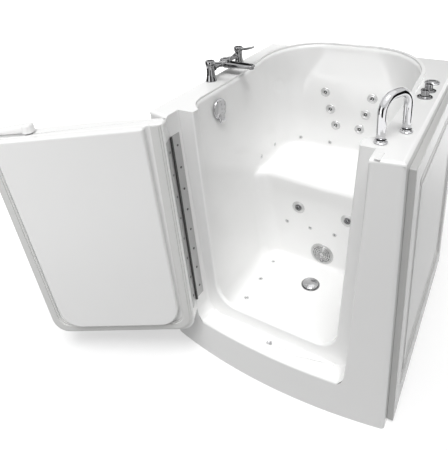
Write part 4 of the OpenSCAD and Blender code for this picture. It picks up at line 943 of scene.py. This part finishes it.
def doorway_front(middle, run):
    """How each edge of the bowed front and its doorway recess is finished."""
    if RECESS_FLOOR < middle.z < SILL_TOP and abs(run.y) > 0.9 * run.length:
        return "soft"
    whole = run.length > SHORT_EDGE or middle.z < JAMB_TOP
    if whole and RECESS_FLOOR < middle.z < DECK_EDGE and middle.y < FRONT_PART_Y:
        return "round"
    return "crisp"


moulded("tub_basin", GELCOAT, "tub", 0.006)
moulded("front_apron", GELCOAT, "tub", 0.010, clamp=False, choose=doorway_front)
moulded("side_panel", PANEL_PAINTED_SHADE, "tub", 0.003, segments=3, angle=18, shape=shape_panel)
moulded("door_outer", GELCOAT, "door", 0.008, clamp=False)
moulded("door_inner", GELCOAT, "door", 0.009, clamp=False)
moulded("door_seal", SEAL, "door", 0.004)


def make_latch():
    """The door's lever, shaped closed and then turned to the open door."""
    boss = place(150, 8, 961)
    bm = bmesh.new()
    turned(bm, [(0, -29), (9.4, -29), (10, -28.4), (10, -24.6), (9.4, -24), (5, -24), (5, 4.2),
                (19, 4.2), (20.6, 5.6), (21, 8), (21, 25), (20, 29), (17.6, 32), (13, 33.6),
                (7, 34), (0, 34)], Matrix.Translation(boss), 64)
    loops = []
    for x, wide, low, top in ((2, 19, 6, 33.6), (20, 19.6, 6, 33.8), (38, 19.6, 6.2, 33),
                              (58, 19, 6.8, 31), (78, 18.4, 7.4, 29), (98, 18, 8, 27.4),
                              (125, 17.8, 8, 26.2), (150, 17.8, 8, 25.4), (172, 17.2, 8, 24.8),
                              (184, 15.6, 8.6, 24), (191, 12.6, 10, 22.6), (195.4, 7, 12.6, 19.8)):
        loops.append(ring(bm, boss + Vector((x, 0, (low + top) / 2)) * MM,
                          Vector((0, wide * MM, 0)), Vector((0, 0, (top - low) / 2 * MM)), 40, 3.2))
    loft(bm, loops)
    bm.transform(Matrix.Translation(HINGE_SPOT) @ Matrix.Rotation(DOOR_OPEN, 4, HINGE_LINE)
                 @ Matrix.Translation(-HINGE_SPOT))
    fitting("latch_paddle", bm, GELCOAT, "latch", "latch_lever", edge=0.5)


make_latch()


def make_panel_bead():
    """A half-round bead that runs in the groove of the side panel."""
    y0, y1, z0, z1, r = 120, 799, 106, 848, 14
    middle_x, half_wide, half_thick = 423.6, 9, 4.2
    points = []
    for cy, cz, start in ((y1 - r, z0 + r, -90), (y1 - r, z1 - r, 0), (y0 + r, z1 - r, 90),
                          (y0 + r, z0 + r, 180)):
        for i in range(7):
            a = math.radians(start + 15 * i)
            points.append((cy + r * math.cos(a), cz + r * math.sin(a)))
    bm = bmesh.new()
    loops = []
    for i, (y, z) in enumerate(points):
        before, after = points[i - 1], points[(i + 1) % len(points)]
        way = Vector((0, after[0] - before[0], after[1] - before[1])).normalized()
        across = way.cross(Vector((1, 0, 0)))
        loops.append(ring(bm, place(middle_x, y, z), across * half_wide * MM,
                          Vector((half_thick * MM, 0, 0)), 16))
    for one, two in zip(loops, loops[1:] + loops[:1]):
        bmesh.ops.bridge_loops(bm, edges=one + two)
    fitting("panel_bead", bm, PANEL_PAINTED_SHADE, "tub", edge=0)


make_panel_bead()


# ------------------------------------------------------------------ floor and light
FLOOR_GLOW = 0.42                  # near the tub; 1 is white
TUB_REACH, WHITE_FROM = 0.95, 2.1  # metres from the middle of the tub
WORLD_LEVEL = 0.24


def seen_ray(tree):
    """1 for rays of the camera, of mirror reflections and of glass."""
    path = tree.nodes.new("ShaderNodeLightPath")
    one = tree.nodes.new("ShaderNodeMath")
    one.operation = "MAXIMUM"
    two = tree.nodes.new("ShaderNodeMath")
    two.operation = "MAXIMUM"
    tree.links.new(path.outputs["Is Camera Ray"], one.inputs[0])
    tree.links.new(path.outputs["Is Glossy Ray"], one.inputs[1])
    tree.links.new(one.outputs[0], two.inputs[0])
    tree.links.new(path.outputs["Is Transmission Ray"], two.inputs[1])
    return two.outputs[0]


def make_floor():
    bm = bmesh.new()
    bmesh.ops.create_grid(bm, x_segments=1, y_segments=1, size=14.0)
    mesh = bpy.data.meshes.new("floor")
    bm.to_mesh(mesh)
    bm.free()
    floor = bpy.data.objects.new("floor", mesh)
    mat, tree, shader = new_material("pale floor", (0.24, 0.24, 0.24), 0.9)
    shader.inputs["Specular IOR Level"].default_value = 0.0
    new, link = tree.nodes.new, tree.links.new
    # the floor is white away from the tub and keeps only the tub's own soft shadow
    coord = new("ShaderNodeTexCoord")
    reach = new("ShaderNodeVectorMath")
    reach.operation = "LENGTH"
    link(coord.outputs["Object"], reach.inputs[0])
    spread = new("ShaderNodeMapRange")
    spread.interpolation_type = "SMOOTHSTEP"
    spread.inputs["From Min"].default_value = TUB_REACH
    spread.inputs["From Max"].default_value = WHITE_FROM
    spread.inputs["To Min"].default_value = FLOOR_GLOW
    spread.inputs["To Max"].default_value = 1.0
    link(reach.outputs["Value"], spread.inputs["Value"])
    glow = new("ShaderNodeEmission")
    link(spread.outputs["Result"], glow.inputs["Strength"])
    lit = new("ShaderNodeBsdfDiffuse")
    lit.inputs["Color"].default_value = (0.6, 0.6, 0.6, 1)
    both = new("ShaderNodeAddShader")
    link(lit.outputs[0], both.inputs[0])
    link(glow.outputs[0], both.inputs[1])
    mix = new("ShaderNodeMixShader")
    link(seen_ray(tree), mix.inputs[0])
    link(shader.outputs[0], mix.inputs[1])
    link(both.outputs[0], mix.inputs[2])
    link(mix.outputs[0], tree.nodes["Material Output"].inputs["Surface"])
    mesh.materials.append(mat)
    bpy.context.scene.collection.objects.link(floor)


def hang_lamp(data, where, way):
    """Hangs a lamp that shines along a direction."""
    lamp = bpy.data.objects.new(data.name, data)
    lamp.location = where
    lamp.rotation_euler = way.to_track_quat("-Z", "Y").to_euler()
    bpy.context.scene.collection.objects.link(lamp)


def area_light(name, where, aim, width, height, power):
    data = bpy.data.lights.new(name, "AREA")
    data.shape = "RECTANGLE"
    data.size = width
    data.size_y = height
    data.energy = power
    hang_lamp(data, where, Vector(aim) - Vector(where))


def soft_sun(name, out, angle, strength):
    """A large even softbox: broad parallel light from one direction."""
    data = bpy.data.lights.new(name, "SUN")
    data.energy = strength
    data.angle = math.radians(angle)
    hang_lamp(data, Vector(out) * 3, -Vector(out))


def flag_card(name, where, aim, width, height):
    """A black card beside the set that only shows as a dark band in the chrome."""
    bm = bmesh.new()
    bmesh.ops.create_grid(bm, x_segments=1, y_segments=1, size=0.5)
    turn = (Vector(aim) - Vector(where)).to_track_quat("Z", "Y").to_matrix().to_4x4()
    bm.transform(Matrix.Translation(where) @ turn @ Matrix.Diagonal((width, height, 1, 1)))
    mesh = bpy.data.meshes.new(name)
    bm.to_mesh(mesh)
    bm.free()
    card = bpy.data.objects.new(name, mesh)
    mat, _, shader = new_material("black card", (0.02, 0.02, 0.02), 0.9)
    shader.inputs["Specular IOR Level"].default_value = 0.0
    mesh.materials.append(mat)
    bpy.context.scene.collection.objects.link(card)
    card.visible_camera = False
    card.visible_diffuse = False
    card.visible_transmission = False
    card.visible_shadow = False


def make_world():
    """White where it is seen, and a soft even light on the tub."""
    world = bpy.data.worlds.new("studio")
    bpy.context.scene.world = world
    world.use_nodes = True
    tree = world.node_tree
    tree.nodes.clear()
    out = tree.nodes.new("ShaderNodeOutputWorld")
    soft = tree.nodes.new("ShaderNodeBackground")
    soft.inputs["Color"].default_value = (1, 1, 1, 1)
    soft.inputs["Strength"].default_value = WORLD_LEVEL
    white = tree.nodes.new("ShaderNodeBackground")
    white.inputs["Color"].default_value = (1, 1, 1, 1)
    white.inputs["Strength"].default_value = 1.0
    mix = tree.nodes.new("ShaderNodeMixShader")
    tree.links.new(seen_ray(tree), mix.inputs[0])
    tree.links.new(soft.outputs[0], mix.inputs[1])
    tree.links.new(white.outputs[0], mix.inputs[2])
    tree.links.new(mix.outputs[0], out.inputs[0])


make_floor()
make_world()
soft_sun("overhead softbox", (0.16, -0.36, 1.0), 28, 1.8)
soft_sun("overhead scrim", (0.10, -0.2, 1.0), 100, 0.8)
area_light("door softbox", (-0.7, -1.9, 1.1), (-0.5, -0.3, 0.5), 1.0, 1.0, 3.6)
flag_card("left flag", (-2.4, -1.2, 0.9), (0, 0, 0.9), 2.1, 1.8)
flag_card("right flag", (2.4, 0.6, 0.9), (0, 0, 0.9), 1.8, 1.8)
flag_card("front flag", (0.9, -2.7, 0.8), (0, 0, 0.8), 1.8, 1.6)
flag_card("back flag", (0.0, 2.67, 1.95), (0.3, 0, 1.0), 1.3, 0.9)
flag_card("tap flag", (-1.85, 2.57, 2.2), (-0.3, 0, 1.0), 0.8, 0.8)
